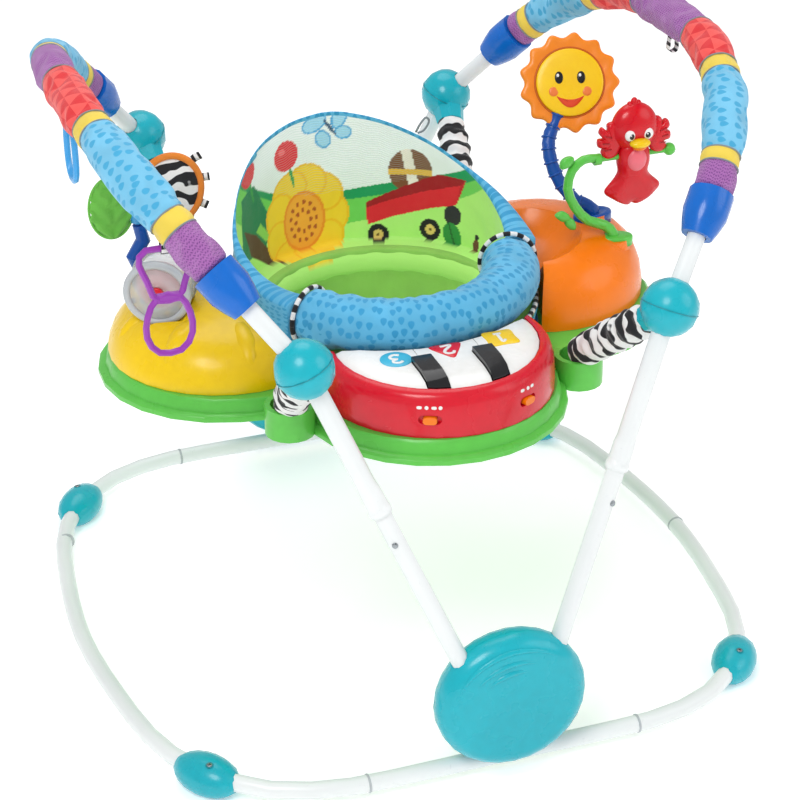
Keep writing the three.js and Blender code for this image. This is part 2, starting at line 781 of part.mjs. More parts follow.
// Both raised black keys are one moulding, joined by a bar under the middle white key.
function blackKeys() {
  const middle = (BLACK_Y[0] + BLACK_Y[1]) / 2;
  const bar = box([4, middle, KEYBED_FLOOR + 1.5], [KEY_SPLITS[1] - KEY_SPLITS[0], 8, 2]);
  const raised = loft([
    pianoRing(KEYBED_R - 1.5, KEYBED_FLOOR + GAP),
    pianoRing(KEYBED_R - 1.5, PIANO_TOP + 1),
    pianoRing(KEYBED_R - 10, PIANO_TOP + 9),
    pianoRing(KEYBED_R - 28, KEY_TOP + 6),
  ]);
  let keys = bar;
  KEY_SPLITS.forEach((x) => {
    keys = keys.add(raised.intersect(blackSlot(x, 0)));
  });
  add('black_keys', keys, BLACK);
}

pianoHousing();
switches();
whiteKeys();
blackKeys();

// ---------------------------------------------------------------- seat
function lathed(profile, sides = SEAT_SIDES) {
  const geometry = new THREE.LatheGeometry(profile.map(([r, z]) => new THREE.Vector2(r, z)), sides);
  geometry.rotateX(Math.PI / 2);
  return toSolid(geometry);
}

function seatRing() {
  const rings = [[197, DECK_Z + GAP], [197, 416], [166, 419], [166, 434], [197, 437], [197, 440], [158, 440],
    [158, 386], [165, 386], [165, DECK_Z + GAP]];
  add('seat_ring', loft(rings.map(([r, z]) => domeRing([0, 0], r, r, z, SEAT_SIDES)), true), SKY);
}

function seatSling() {
  const outer = [[0, 304], [60, 310], [112, 332], [141, 366], [151, 405], [156, 440.4], [197, 440.4]];
  const inner = [[197, 444], [152, 444], [147, 406], [137, 368], [109, 336], [59, 314], [0, 308]];
  let sling = lathed([...outer, ...inner], 26);
  SIDES.forEach(([, sx]) => {
    const from = new THREE.Vector3(sx * 40, -45, 345);
    const to = new THREE.Vector3(sx * 150, -130, 270);
    sling = sling.subtract(rod([from, to], 46, 14));
  });
  add('seat_sling', sling, [0x8fd85c, 0.9]);
}

function angledRing(degrees, section) {
  const turn = THREE.MathUtils.degToRad(degrees);
  return section.map(([r, z]) => new THREE.Vector3(r * Math.cos(turn), r * Math.sin(turn), z));
}

// Stuffed roll round the front of the seat, narrowing a little where it meets the sides.
function seatRoll() {
  const rings = [];
  const steps = 18;
  for (let i = 0; i <= steps; i += 1) {
    const degrees = ROLL_FROM + ((ROLL_TO - ROLL_FROM) * i) / steps;
    const edge = Math.min(i, steps - i);
    const size = ROLL_SECTION * [0.9, 0.97, 1][Math.min(edge, 2)];
    const section = [];
    for (let j = 0; j < 14; j += 1) {
      const turn = (2 * Math.PI * j) / 14;
      section.push([ROLL_R + size * Math.cos(turn), ROLL_Z + size * Math.sin(turn)]);
    }
    rings.push(angledRing(degrees, section));
  }
  add('seat_roll', loft(rings), SKY);
}

function wrapTop(degrees) {
  const wrapped = WRAP_TOP.findIndex(([at]) => at >= degrees);
  if (wrapped <= 0) {
    return WRAP_TOP[0][1];
  }
  const [a, za] = WRAP_TOP[wrapped - 1];
  const [b, zb] = WRAP_TOP[wrapped];
  return za + ((zb - za) * (degrees - a)) / (b - a);
}

// High fabric back that wraps from one end of the roll to the other.
function seatBack() {
  const rings = [];
  const from = WRAP_TOP[0][0];
  const to = WRAP_TOP[WRAP_TOP.length - 1][0];
  const steps = 24;
  for (let i = 0; i <= steps; i += 1) {
    const degrees = from + ((to - from) * i) / steps;
    const top = wrapTop(degrees);
    const inner = WRAP_INNER - WRAP_SWELL * Math.max(0, 1 - Math.min(degrees - from, to - degrees) / 45);
    rings.push(angledRing(degrees, [
      [WRAP_OUTER, SEAT_BASE_Z],
      [WRAP_OUTER, top - 5],
      [WRAP_OUTER - 4, top],
      [inner + 4, top],
      [inner, top - 5],
      [inner, SEAT_BASE_Z],
    ]));
  }
  add('seat_back', loft(rings), MESH_WHITE);
}

seatRing();
seatSling();
seatRoll();
seatBack();

// ---------------------------------------------------------------- tethers
function tethers() {
  const along = tetherLine();
  const length = BALL.distanceTo(BOSS);
  const count = TETHER_SECTION.length;
  const path = TETHER_SECTION.map((r, i) => {
    const at = TETHER_FROM + ((length + 8 - TETHER_FROM) * i) / (count - 1);
    return BALL.clone().addScaledVector(along, at);
  });
  const sleeve = rod(path, TETHER_SECTION, 10).subtract(box([BOSS.x, BOSS.y, 400], [200, 200, 42]));
  CORNERS.forEach(([name, sx, sy]) => add(`tether_sleeve_${name}`, mirrored(sleeve, sx, sy), [0xcfcfd2, 0.9]));
}
tethers();

// ---------------------------------------------------------------- toys
function sunStalk() {
  const stalk = smoothed(STALK_PATH, 22);
  const radii = stalk.map((p, i) => (i % 2 ? 9.4 : 8.4));
  add('sun_stalk', rod(stalk, radii, 10), [0x0f3f96, 0.4]);
}

function sunFrame(depth) {
  const normal = new THREE.Vector3(-0.27, -0.86, 0.43).normalize();
  const across = new THREE.Vector3(0.95, -0.3, 0);
  const up = new THREE.Vector3().crossVectors(normal, across);
  return placed(SUN_AT.clone().addScaledVector(normal, depth), across, up);
}

function sunDisc() {
  const petals = new THREE.Shape();
  const steps = 48;
  for (let i = 0; i < steps; i += 1) {
    const turn = (2 * Math.PI * i) / steps;
    const radius = SUN_R - SUN_WAVE + SUN_WAVE * Math.cos(12 * turn);
    petals[i ? 'lineTo' : 'moveTo'](radius * Math.cos(turn), radius * Math.sin(turn));
  }
  petals.closePath();
  const face = new THREE.Shape().absarc(0, 0, SUN_FACE_R, 0, 2 * Math.PI, false);
  const ring = slab(petals, 9, sunFrame(-4));
  const disc = slab(face, 6, sunFrame(4), 16);
  let sun = ring.add(disc);
  sun = sun.subtract(rod(smoothed(STALK_PATH, 22).slice(-9), 12, 12));
  add('sun', sun, ORANGE);
}

function birdHoop() {
  const path = smoothed(HOOP_PATH, 16);
  const radii = path.map((p, i) => HOOP_R - 2 * (i / path.length));
  const at = (x) => new THREE.Vector3(x, BIRD_AXLE.y, BIRD_AXLE.z);
  const axle = rod([at(276), at(381)], AXLE_R, 14);
  const stop = rod([at(279), at(288)], 7.5, 12);
  const knob = ball(at(385), [8.5, 8.5, 8.5], 10, 6);
  add('bird_hoop', rod(path, radii, 9).add(axle).add(stop).add(knob), GREEN);
}

function bird() {
  const c = BIRD_AXLE;
  const at = (x, z) => new THREE.Vector3(c.x + x, c.y, c.z + z);
  let body = ball(at(0, 38), [33, 17, 34], 12, 8)
    .add(ball(at(0, -6), [24, 15, 34], 10, 6))
    .add(ball(at(-3, -42), [32, 12, 25], 10, 6));
  [-1, 1].forEach((side) => {
    body = body.add(ball(at(side * 33, 22), [10, 9, 22], 8, 6));
  });
  const bore = rod([at(-70, 0), at(70, 0)], AXLE_R + 0.35, 20);
  add('bird', body.subtract(bore), RED);
}

function drum() {
  add('drum', drumCylinder(DRUM_R, DRUM_HALF, 24), [0xd8dde0, 0.2]);
}

// Wavy post standing in the yellow station, with a pin at its top.
function flutterPost() {
  const [x, y] = FLUTTER_AT;
  const waves = [[0, 462], [0, 490], [-9, 512], [5, 534], [0, 556]];
  const path = waves.map(([dx, z]) => new THREE.Vector3(x + dx, y, z));
  const pin = rod([new THREE.Vector3(x, y, 550), new THREE.Vector3(x, y, 606)], 4, 12);
  add('flutter_post', rod(path, [9, 9, 9.5, 9.5, 8], 10).add(pin), [0x0f3f96, 0.4]);
}

// Two-winged spinner: a leaf on one side, an oval padded wing on the other.
function flutterWings() {
  const [x, y] = FLUTTER_AT;
  const leaf = ball(new THREE.Vector3(x - 33, y, 583), [29, 7, 42], 12, 8);
  const wing = ball(new THREE.Vector3(x + 46, y, 596), [44, 8, 50], 14, 8);
  const hub = rod([new THREE.Vector3(x, y, 560), new THREE.Vector3(x, y, 602)], 10, 12);
  const bore = rod([new THREE.Vector3(x, y, 540), new THREE.Vector3(x, y, 640)], 4.35, 20);
  add('flutter_wings', hub.add(leaf).add(wing).subtract(bore), GREEN);
}

// A closed loop of round rod through the given points, in the plane of the two axes.
function linkLoop(origin, across, list) {
  const points = list.map(([a, z]) => origin.clone().addScaledVector(across, a).setZ(origin.z + z));
  const curve = new THREE.CatmullRomCurve3(points, true, 'centripetal');
  const count = 2 * list.length;
  const normal = new THREE.Vector3().crossVectors(across, new THREE.Vector3(0, 0, 1));
  const rings = [];
  for (let i = 0; i < count; i += 1) {
    const at = curve.getPointAt(i / count);
    const heading = curve.getTangentAt(i / count);
    const side = new THREE.Vector3().crossVectors(normal, heading).normalize();
    rings.push(circleRing(at, side, normal, LINK_ROD, LINK_ROD, 8));
  }
  return loft(rings, true);
}

function links() {
  const [purple, blue, orange] = linkHangers();
  const web = box([purple.x, purple.y, purple.z - 61], [26, 7, 10]);
  const eight = linkLoop(purple, X_AXIS, EIGHT_TOP).add(linkLoop(purple, X_AXIS, EIGHT_LOW)).add(web);
  add('purple_link', eight, PURPLE);
  add('blue_link', linkLoop(blue, Y_AXIS, OVAL_LINK), [0x4fb3ea, 0.35]);
  add('orange_link', linkLoop(orange, X_AXIS, ROUND_LINK), ORANGE);
}

sunStalk();
sunDisc();
birdHoop();
bird();
drum();
flutterPost();
flutterWings();
links();

group.updateMatrixWorld(true);
export default group;
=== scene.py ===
"""Looks of a baby activity jumper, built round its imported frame.
"""

import math

import bmesh
import bpy
import numpy as np
from mathutils import Matrix, Vector, noise


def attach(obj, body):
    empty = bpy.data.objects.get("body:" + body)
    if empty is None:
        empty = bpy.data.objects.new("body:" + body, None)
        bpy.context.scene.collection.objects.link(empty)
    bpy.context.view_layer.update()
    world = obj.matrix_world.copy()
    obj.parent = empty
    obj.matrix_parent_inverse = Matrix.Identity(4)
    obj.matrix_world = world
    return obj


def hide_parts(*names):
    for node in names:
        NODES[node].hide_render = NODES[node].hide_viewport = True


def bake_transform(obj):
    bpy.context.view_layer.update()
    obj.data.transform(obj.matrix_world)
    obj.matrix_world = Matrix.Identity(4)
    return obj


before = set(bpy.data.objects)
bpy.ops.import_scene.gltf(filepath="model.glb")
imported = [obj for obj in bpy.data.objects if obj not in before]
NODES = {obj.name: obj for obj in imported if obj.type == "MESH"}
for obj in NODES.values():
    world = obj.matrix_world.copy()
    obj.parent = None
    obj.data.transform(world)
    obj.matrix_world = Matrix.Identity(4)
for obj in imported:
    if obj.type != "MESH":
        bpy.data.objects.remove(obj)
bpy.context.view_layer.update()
MM = 0.001
TAU = 2 * math.pi


# ---------------------------------------------------------------- camera, light, floor
def make_camera():
    """Slightly above the front-left corner, as a product photograph is taken."""
    data = bpy.data.cameras.new("camera")
    data.lens, data.sensor_width = 108.35, 36
    data.clip_end = 50
    camera = bpy.data.objects.new("camera", data)
    bpy.context.scene.collection.objects.link(camera)
    back = Vector((-0.2904, -0.8338, 0.4696)).normalized()
    right = Vector((0.9444, -0.3289, 0)).normalized()
    up = back.cross(right)
    roll = math.radians(-0.66)
    right, up = (
        right * math.cos(roll) + up * math.sin(roll),
        up * math.cos(roll) - right * math.sin(roll),
    )
    turn = Matrix((right, up, back)).transposed().to_4x4()
    camera.matrix_world = Matrix.Translation((-0.901, -2.641, 1.778)) @ turn
    bpy.context.scene.camera = camera


def area_light(name, place, target, size, power):
    data = bpy.data.lights.new(name, "AREA")
    data.shape, data.size, data.energy = "DISK", size, power
    lamp = bpy.data.objects.new(name, data)
    lamp.location = place
    aim = Vector(target) - Vector(place)
    lamp.rotation_euler = aim.to_track_quat("-Z", "Y").to_euler()
    bpy.context.scene.collection.objects.link(lamp)


def make_studio():
    scene = bpy.context.scene
    scene.view_settings.view_transform = "Standard"
    world = bpy.data.worlds.new("studio")
    world.use_nodes = True
    background = world.node_tree.nodes["Background"]
    background.inputs["Color"].default_value = (1, 1, 1, 1)
    background.inputs["Strength"].default_value = 0.55
    scene.world = world
    area_light("key", (-1.6, -1.9, 3.0), (0, 0, 0.4), 1.6, 52)
    area_light("fill", (2.4, -1.6, 1.9), (0, 0, 0.4), 2.2, 20)
    area_light("top", (0.2, 1.2, 3.2), (0, 0, 0.4), 2.4, 28)
    mesh = bpy.data.meshes.new("floor")
    reach = 9
    corners = [(-reach, -reach, 0), (reach, -reach, 0), (reach, reach, 0), (-reach, reach, 0)]
    mesh.from_pydata(corners, [], [(0, 1, 2, 3)])
    floor = bpy.data.objects.new("floor", mesh)
    floor.location.z = -0.0006
    scene.collection.objects.link(floor)
    shade = Shade("floor", "FFFFFF", 0.55, Emission_Color=(1, 1, 1, 1), Emission_Strength=0.3)
    shade.speckle(3, "F7F8F8", 0.4)
    mesh.materials.append(shade.material)


# ---------------------------------------------------------------- materials
def rgb(code):
    """A web colour as linear RGBA."""
    parts = [int(code[i:i + 2], 16) / 255 for i in (0, 2, 4)]
    return tuple(c / 12.92 if c <= 0.04045 else ((c + 0.055) / 1.055) ** 2.4 for c in parts) + (1.0,)


class Shade:
    """A node material, and short calls that add nodes to it."""

    def __init__(self, name, colour, roughness, **settings):
        self.material = bpy.data.materials.new(name)
        self.material.use_nodes = True
        self.tree = self.material.node_tree
        self.shader = self.tree.nodes["Principled BSDF"]
        self.colour = rgb(colour)
        self.shader.inputs["Base Color"].default_value = self.colour
        self.shader.inputs["Roughness"].default_value = roughness
        for key, value in settings.items():
            self.shader.inputs[key.replace("_", " ")].default_value = value
        self.height = None

    def node(self, kind, **settings):
        made = self.tree.nodes.new(kind)
        for key, value in settings.items():
            setattr(made, key, value)
        return made

    def plug(self, socket, value):
        if isinstance(value, bpy.types.NodeSocket):
            self.tree.links.new(value, socket)
        else:
            socket.default_value = value

    def math(self, operation, a, b=0.0, c=None, clamp=False):
        made = self.node("ShaderNodeMath", operation=operation, use_clamp=clamp)
        self.plug(made.inputs[0], a)
        self.plug(made.inputs[1], b)
        if c is not None:
            self.plug(made.inputs[2], c)
        return made.outputs[0]

    def mix(self, factor, a, b):
        made = self.node("ShaderNodeMix", data_type="RGBA")
        self.plug(made.inputs[0], factor)
        self.plug(made.inputs[6], a)
        self.plug(made.inputs[7], b)
        return made.outputs[2]

    def place(self):
        return self.node("ShaderNodeTexCoord").outputs["Object"]

    def uv(self):
        made = self.node("ShaderNodeSeparateXYZ")
        self.plug(made.inputs[0], self.node("ShaderNodeUVMap", uv_map="real").outputs[0])
        return made.outputs[0], made.outputs[1]

    def noise(self, scale, detail=2.0, vector=None, distortion=0.0):
        made = self.node("ShaderNodeTexNoise")
        self.plug(made.inputs["Vector"], self.place() if vector is None else vector)
        made.inputs["Scale"].default_value = scale
        made.inputs["Detail"].default_value = detail
        made.inputs["Distortion"].default_value = distortion
        return made.outputs["Fac"]

    def span(self, value, low, high, to_low=0.0, to_high=1.0):
        made = self.node("ShaderNodeMapRange")
        for socket, v in zip(made.inputs, (value, low, high, to_low, to_high)):
            self.plug(socket, v)
        return made.outputs[0]

    def paint(self, factor, code):
        """Lays another colour over the base where factor is 1."""
        self.colour = self.mix(factor, self.colour, rgb(code) if isinstance(code, str) else code)
        self.plug(self.shader.inputs["Base Color"], self.colour)

    def speckle(self, scale, code, amount):
        self.paint(self.span(self.noise(scale), 0.35, 0.7, 0.0, amount), code)

    def bump(self, height, strength, distance):
        made = self.node("ShaderNodeBump")
        made.inputs["Strength"].default_value = strength
        made.inputs["Distance"].default_value = distance
        self.plug(made.inputs["Height"], height)
        if self.height is not None:
            self.plug(made.inputs["Normal"], self.height)
        self.height = made.outputs[0]
        self.plug(self.shader.inputs["Normal"], self.height)

    def rough(self, scale, low, high):
        self.plug(self.shader.inputs["Roughness"], self.span(self.noise(scale, 3), 0.3, 0.7, low, high))


def shaded(code, factor):
    """A web colour made darker or lighter."""
    parts = [min(255, round(int(code[i:i + 2], 16) * factor)) for i in (0, 2, 4)]
    return "".join(f"{p:02X}" for p in parts)


def plastic(name, code, roughness=0.27, coat=0.35, alpha=None):
    """Moulded plastic: even colour, faint flow marks, fine grain and soft scuffs."""
    shade = Shade(name, code, roughness, Coat_Weight=coat * 0.3, Coat_Roughness=0.08,
                  Specular_IOR_Level=0.36)
    shade.speckle(7, shaded(code, 0.9), 0.5)
    shade.speckle(90, shaded(code, 1.07), 0.25)
    shade.rough(26, roughness - 0.06, roughness + 0.1)
    shade.bump(shade.noise(55, 2), 0.05, 0.002)
    shade.bump(shade.noise(1400, 2), 0.06, 0.0003)
    if alpha is not None:
        shade.shader.inputs["Alpha"].default_value = alpha
    return shade.material


def powder_coat():
    shade = Shade("white_powder_coat", "EDF0F0", 0.34, Coat_Weight=0.25, Coat_Roughness=0.2)
    shade.speckle(5, "DDE2E3", 0.6)
    shade.rough(40, 0.28, 0.46)
    shade.bump(shade.noise(900, 3), 0.12, 0.0004)
    scuffs = shade.span(shade.noise(160, 4, distortion=1.5), 0.68, 0.74)
    shade.paint(shade.math("MULTIPLY", scuffs, 0.25), "C5CACC")
    return shade.material


def steel():
    shade = Shade("screw_steel", "9AA0A4", 0.3, Metallic=1.0)
    shade.rough(300, 0.22, 0.45)
    shade.bump(shade.noise(2000, 2), 0.1, 0.0002)
    return shade.material


def weave(shade, u, v, pitch, strength=0.35):
    """Over-and-under threads with a little slub, on real-scale coordinates, with painted shade darkening the
    valleys between threads.
    """
    wave_u = shade.math("SINE", shade.math("MULTIPLY", u, TAU / pitch))
    wave_v = shade.math("SINE", shade.math("MULTIPLY", v, TAU / pitch))
    threads = shade.math("MULTIPLY", wave_u, wave_v)
    shade.bump(threads, strength, 0.0004)
    # painted shade: the valleys between the threads are darkened by up to 12%
    shade.paint(shade.span(threads, -1, 1, 0.12, 0.0), (0.0, 0.0, 0.0, 1.0))
    shade.bump(shade.noise(140, 3), 0.25, 0.0012)
    shade.bump(shade.noise(34, 2), 0.3, 0.004)


def fabric(name, code):
    """A cloth material, and its coordinates along and across the cloth."""
    shade = Shade(name, code, 0.82, Sheen_Weight=0.25, Sheen_Roughness=0.4)
    u, v = shade.uv()
    return shade, u, v


def finish_fabric(shade, u, v, pitch=0.0016):
    weave(shade, u, v, pitch)
    shade.rough(60, 0.72, 0.92)
    return shade.material


def drop_fabric(name, base="7CCBF0", dark="3BA9D8", flip=1.0):
    """Printed teardrops scattered in loose rows, points along v."""
    shade, u, v = fabric(name, base)
    shade.speckle(22, shaded(base, 0.9), 0.8)
    across, along = 0.0105, 0.0165
    scaled = shade.node("ShaderNodeCombineXYZ")
    shade.plug(scaled.inputs[0], shade.math("DIVIDE", u, across))
    shade.plug(scaled.inputs[1], shade.math("DIVIDE", v, along * flip))
    cells = shade.node("ShaderNodeTexVoronoi", voronoi_dimensions="2D", feature="F1")
    cells.inputs["Scale"].default_value = 1.0
    cells.inputs["Randomness"].default_value = 0.55
    shade.plug(cells.inputs["Vector"], scaled.outputs[0])
    offset = shade.node("ShaderNodeVectorMath", operation="SUBTRACT")
    shade.plug(offset.inputs[0], scaled.outputs[0])
    shade.plug(offset.inputs[1], cells.outputs["Position"])
    local = shade.node("ShaderNodeSeparateXYZ")
    shade.plug(local.inputs[0], offset.outputs[0])
    x, y = local.outputs[0], local.outputs[1]
    taper = shade.math("MULTIPLY_ADD", y, 0.55, 0.42)
    wide = shade.math("DIVIDE", x, shade.math("MAXIMUM", taper, 0.05))
    tall = shade.math("DIVIDE", y, 0.42)
    wide_part = shade.math("POWER", shade.math("ABSOLUTE", wide), 2.0)
    tall_part = shade.math("POWER", shade.math("ABSOLUTE", tall), 2.0)
    reach = shade.math("ADD", wide_part, tall_part)
    inside = shade.span(reach, 0.62, 0.4)
    shade.paint(shade.math("MULTIPLY", inside, 0.9), dark)
    return finish_fabric(shade, u, v)


def triangle_fabric(name):
    """Rows of darker triangles on red, points alternating."""
    shade, u, v = fabric(name, "F75A55")
    row = shade.math("DIVIDE", v, 0.0185)
    place = shade.math("FRACT", row)
    shift = shade.math("MULTIPLY", shade.math("FLOOR", row), 0.5)
    column = shade.math("FRACT", shade.math("ADD", shade.math("DIVIDE", u, 0.02), shift))
    half = shade.math("ABSOLUTE", shade.math("MULTIPLY_ADD", column, 2.0, -1.0))
    tone = shade.span(shade.math("SUBTRACT", shade.math("MULTIPLY", place, 0.95), half), -0.04, 0.04)
    shade.paint(shade.math("MULTIPLY", tone, 0.95), "E02F35")
    return finish_fabric(shade, u, v)


def net_fabric(name):
    """Purple knitted net: wavy dark holes between raised ribs."""
    shade, u, v = fabric(name, "B06CB8")
    wobble = shade.math("MULTIPLY", shade.math("SINE", shade.math("MULTIPLY", v, TAU / 0.009)), 0.0011)
    along = shade.math("SINE", shade.math("MULTIPLY", shade.math("ADD", u, wobble), TAU / 0.0042))
    around = shade.math("SINE", shade.math("MULTIPLY", v, TAU / 0.0058))
    cells = shade.math("MULTIPLY", along, around)
    shade.paint(shade.span(cells, 0.1, 0.55, 0.0, 0.75), "6E3482")
    shade.paint(shade.span(shade.noise(60, 2), 0.5, 0.7, 0.0, 0.25), "D7A6DC")
    shade.bump(shade.math("MULTIPLY", cells, -1.0), 0.6, 0.0009)
    return finish_fabric(shade, u, v, 0.0012)


def zebra_fabric(name):
    """Black and white bands that wander as they run round the sleeve."""
    shade, u, v = fabric(name, "F2F2F0")
    wander = shade.noise(22, 2)
    stripe = shade.math("MULTIPLY_ADD", wander, 2.4, shade.math("DIVIDE", u, 0.025))
    tone = shade.math("SINE", shade.math("MULTIPLY", stripe, TAU))
    shade.paint(shade.span(tone, -0.1, 0.1), "16161A")
    return finish_fabric(shade, u, v)


def check_fabric(name, pitch=0.009):
    """Piping with even black and white blocks along its length."""
    shade, u, v = fabric(name, "F4F4F2")
    tone = shade.math("SINE", shade.math("MULTIPLY", u, TAU / (2 * pitch)))
    shade.paint(shade.span(tone, -0.08, 0.08), "18181C")
    return finish_fabric(shade, u, v, 0.0011)


def plain_fabric(name, code, pitch=0.0014):
    shade, u, v = fabric(name, code)
    shade.speckle(18, shaded(code, 0.9), 0.7)
    return finish_fabric(shade, u, v, pitch)


def picture_fabric(name):
    """The seat's printed panel: colour from the print attribute, woven below and open mesh above; the print also
    glows faintly in its own colour, painted light that brightens the shaded inside of the seat.
    """
    shade, u, v = fabric(name, "FFFFFF")
    print_node = shade.node("ShaderNodeAttribute", attribute_name="print")
    shade.paint(1.0, print_node.outputs["Color"])
    # painted light: the print glows faintly in its own colour so the shaded inside of the seat reads brighter
    shade.plug(shade.shader.inputs["Emission Color"], print_node.outputs["Color"])
    shade.shader.inputs["Emission Strength"].default_value = 0.14
    net = shade.node("ShaderNodeAttribute", attribute_name="net").outputs["Fac"]
    wobble = shade.math("MULTIPLY", shade.math("SINE", shade.math("MULTIPLY", u, TAU / 0.03)), 0.0012)
    rows = shade.math("SINE", shade.math("MULTIPLY", shade.math("ADD", v, wobble), TAU / 0.0034))
    holes = shade.math("MULTIPLY", shade.span(rows, 0.1, 0.8, 0.0, 0.30), net)
    shade.paint(holes, "B9CFCB")
    shade.bump(shade.math("MULTIPLY", rows, net), 0.3, 0.0005)
    return finish_fabric(shade, u, v, 0.0015)


PLASTICS = {
    "teal": ("teal_plastic", "12B0C0", 0.25, 0.45),
    "teal_dark": ("teal_plastic_dark", "178F9C", 0.3),
    "blue": ("blue_plastic", "0468C8", 0.24, 0.4),
    "navy": ("navy_plastic", "1250A6", 0.3),
    "green": ("green_plastic", "5FC44C", 0.3),
    "leaf": ("leaf_plastic", "5CC24A", 0.28),
    "yellow": ("yellow_plastic", "F6CC08", 0.28),
    "orange": ("orange_plastic", "F67A00", 0.28),
    "red": ("red_plastic", "D8142A", 0.22, 0.5),
    "white": ("white_plastic", "F1F1EE", 0.22, 0.5),
    "black": ("black_plastic", "141417", 0.16, 0.7),
    "seat_blue": ("seat_ring_plastic", "4FB0E2", 0.4, 0.1),
    "purple": ("purple_plastic", "9A3BAE", 0.25),
    "light_blue": ("light_blue_plastic", "3FA2E2", 0.25),
    "petal": ("petal_plastic", "F58A1C", 0.3),
    "petal_dark": ("petal_groove_plastic", "C4600F", 0.35),
    "sun_face": ("sun_face_plastic", "FCCB10", 0.28),
    "badge_blue": ("badge_plastic", "3FB4D6", 0.3),
    "cheek": ("cheek_print", "F07F3C", 0.35),
    "mouth": ("mouth_print", "E0451E", 0.35),
    "bird_red": ("bird_plastic", "D20A1C", 0.24, 0.45),
    "bird_dark": ("bird_wing_plastic", "A80D18", 0.28),
    "pink": ("pink_plastic", "EE6F7C", 0.3),
    "clear": ("clear_plastic", "E8F1F4", 0.08, 0.8, 0.32),
    "grey": ("grey_plastic", "B9BEC2", 0.3),
}
PLAIN_CLOTHS = {
    "orange_cloth": ("orange_cloth", "F08A2A"),
    "band": ("sleeve_yellow", "FBDD55"),
    "lining": ("seat_lining", "A0DC66"),
    "binding": ("blue_binding", "3FA3D6"),
    "seam_blue": ("seam_blue", "2B7FB4"),
    "leaf_cloth": ("leaf_cloth", "74CC4E"),
    "thread": ("grey_thread", "8E979C", 0.0009),
}
MATERIALS = {}


def make_materials():
    m = MATERIALS
    for key, settings in PLASTICS.items():
        m[key] = plastic(*settings)
    for key, settings in PLAIN_CLOTHS.items():
        m[key] = plain_fabric(*settings)
    m["tube"] = powder_coat()
    m["steel"] = steel()
    m["net"] = net_fabric("sleeve_net")
    m["drops"] = drop_fabric("sleeve_drops", flip=-1.0)
    m["triangles"] = triangle_fabric("sleeve_triangles")
    m["seat_drops"] = drop_fabric("seat_drops", "62C0EC", "2E9BCF")
    m["zebra"] = zebra_fabric("tether_zebra")
    m["check"] = check_fabric("check_piping")
    m["picture"] = picture_fabric("seat_print")
    m["webbing"] = check_fabric("tab_webbing", 0.0045)


# ---------------------------------------------------------------- mesh helpers
def to_object(name, points, faces, materials, uv=None, material_of=None):
    """Points in millimetres. uv holds one pair per face corner, in metres."""
    mesh = bpy.data.meshes.new(name)
    mesh.from_pydata((np.asarray(points, float) * MM).tolist(), [], faces)
    for key in materials:
        mesh.materials.append(MATERIALS[key])
    if uv is not None:
        layer = mesh.uv_layers.new(name="real")
        layer.data.foreach_set("uv", np.asarray(uv, np.float32).ravel())
    if material_of is not None:
        mesh.polygons.foreach_set("material_index", np.asarray(material_of, np.int32))
    mesh.polygons.foreach_set("use_smooth", np.ones(len(mesh.polygons), bool))
    mesh.update()
    made = bpy.data.objects.new(name, mesh)
    bpy.context.scene.collection.objects.link(made)
    return made


def skin(name, rows, materials, uv=None, closed_rows=False, wrap=True, caps=True, row_material=None):
    """A grid of points (rows by columns) made into a mesh. Columns close on themselves when wrap is set."""
    rows = np.asarray(rows, float)
    count, columns = rows.shape[:2]
    spans = count if closed_rows else count - 1
    steps = columns if wrap else columns - 1
    if uv is None:
        uv = real_scale(rows, wrap)
    faces, corners, slots = [], [], []
    for i in range(spans):
        k = (i + 1) % count
        for j in range(steps):
            n = (j + 1) % columns
            faces.append((i * columns + j, i * columns + n, k * columns + n, k * columns + j))
            top = min(i + 1, len(uv) - 1)
            corners += [uv[i][j], uv[i][j + 1], uv[top][j + 1], uv[top][j]]
            slots.append(row_material[i] if row_material is not None else 0)
    points = rows.reshape(-1, 3)
    if caps and wrap and not closed_rows:
        points, faces, corners, slots = add_caps(points, faces, corners, slots, rows)
    made = to_object(name, points, faces, materials, corners, slots)
    tidy_normals(made)
    return made


def add_caps(points, faces, corners, slots, rows):
    count, columns = rows.shape[:2]
    points = list(map(tuple, points))
    for first, ring, flip in ((0, rows[0], True), ((count - 1) * columns, rows[-1], False)):
        points.append(tuple(ring.mean(0)))
        tip = len(points) - 1
        for j in range(columns):
            n = (j + 1) % columns
            faces.append((first + n, first + j, tip) if flip else (first + j, first + n, tip))
            corners += [(0, 0), (0.002, 0), (0.001, 0.002)]
            slots.append(slots[0] if flip else slots[-1])
    return points, faces, corners, slots


def real_scale(rows, wrap):
    """Coordinates in metres: along the rows, and round each row."""
    count = len(rows)
    middle = rows.mean(1)
    along = np.concatenate([[0], np.cumsum(np.linalg.norm(np.diff(middle, axis=0), axis=1))]) * MM
    ring = np.concatenate([rows, rows[:, :1]], axis=1) if wrap else rows
    gone = np.cumsum(np.linalg.norm(np.diff(ring, axis=1), axis=2), axis=1)
    round_ = np.concatenate([np.zeros((count, 1)), gone], axis=1) * MM
    round_ = np.broadcast_to(round_.mean(0), round_.shape)
    return np.stack([np.broadcast_to(along[:, None], round_.shape), round_], axis=-1)


def tidy_normals(made):
    grid = bmesh.new()
    grid.from_mesh(made.data)
    bmesh.ops.recalc_face_normals(grid, faces=grid.faces)
    grid.to_mesh(made.data)
    grid.free()


def section_frames(path):
    """Two directions across each point of a path, carried along it without twist."""
    path = [Vector(p) for p in path]
    frames, side = [], None
    for i, p in enumerate(path):
        along = (path[min(i + 1, len(path) - 1)] - path[max(i - 1, 0)]).normalized()
        if side is None:
            start = Vector((0, 0, 1)) if abs(along.z) < 0.9 else Vector((1, 0, 0))
            side = start.cross(along).normalized()
        side = (side - along * side.dot(along)).normalized()
        frames.append((p, side.copy(), along.cross(side)))
    return frames


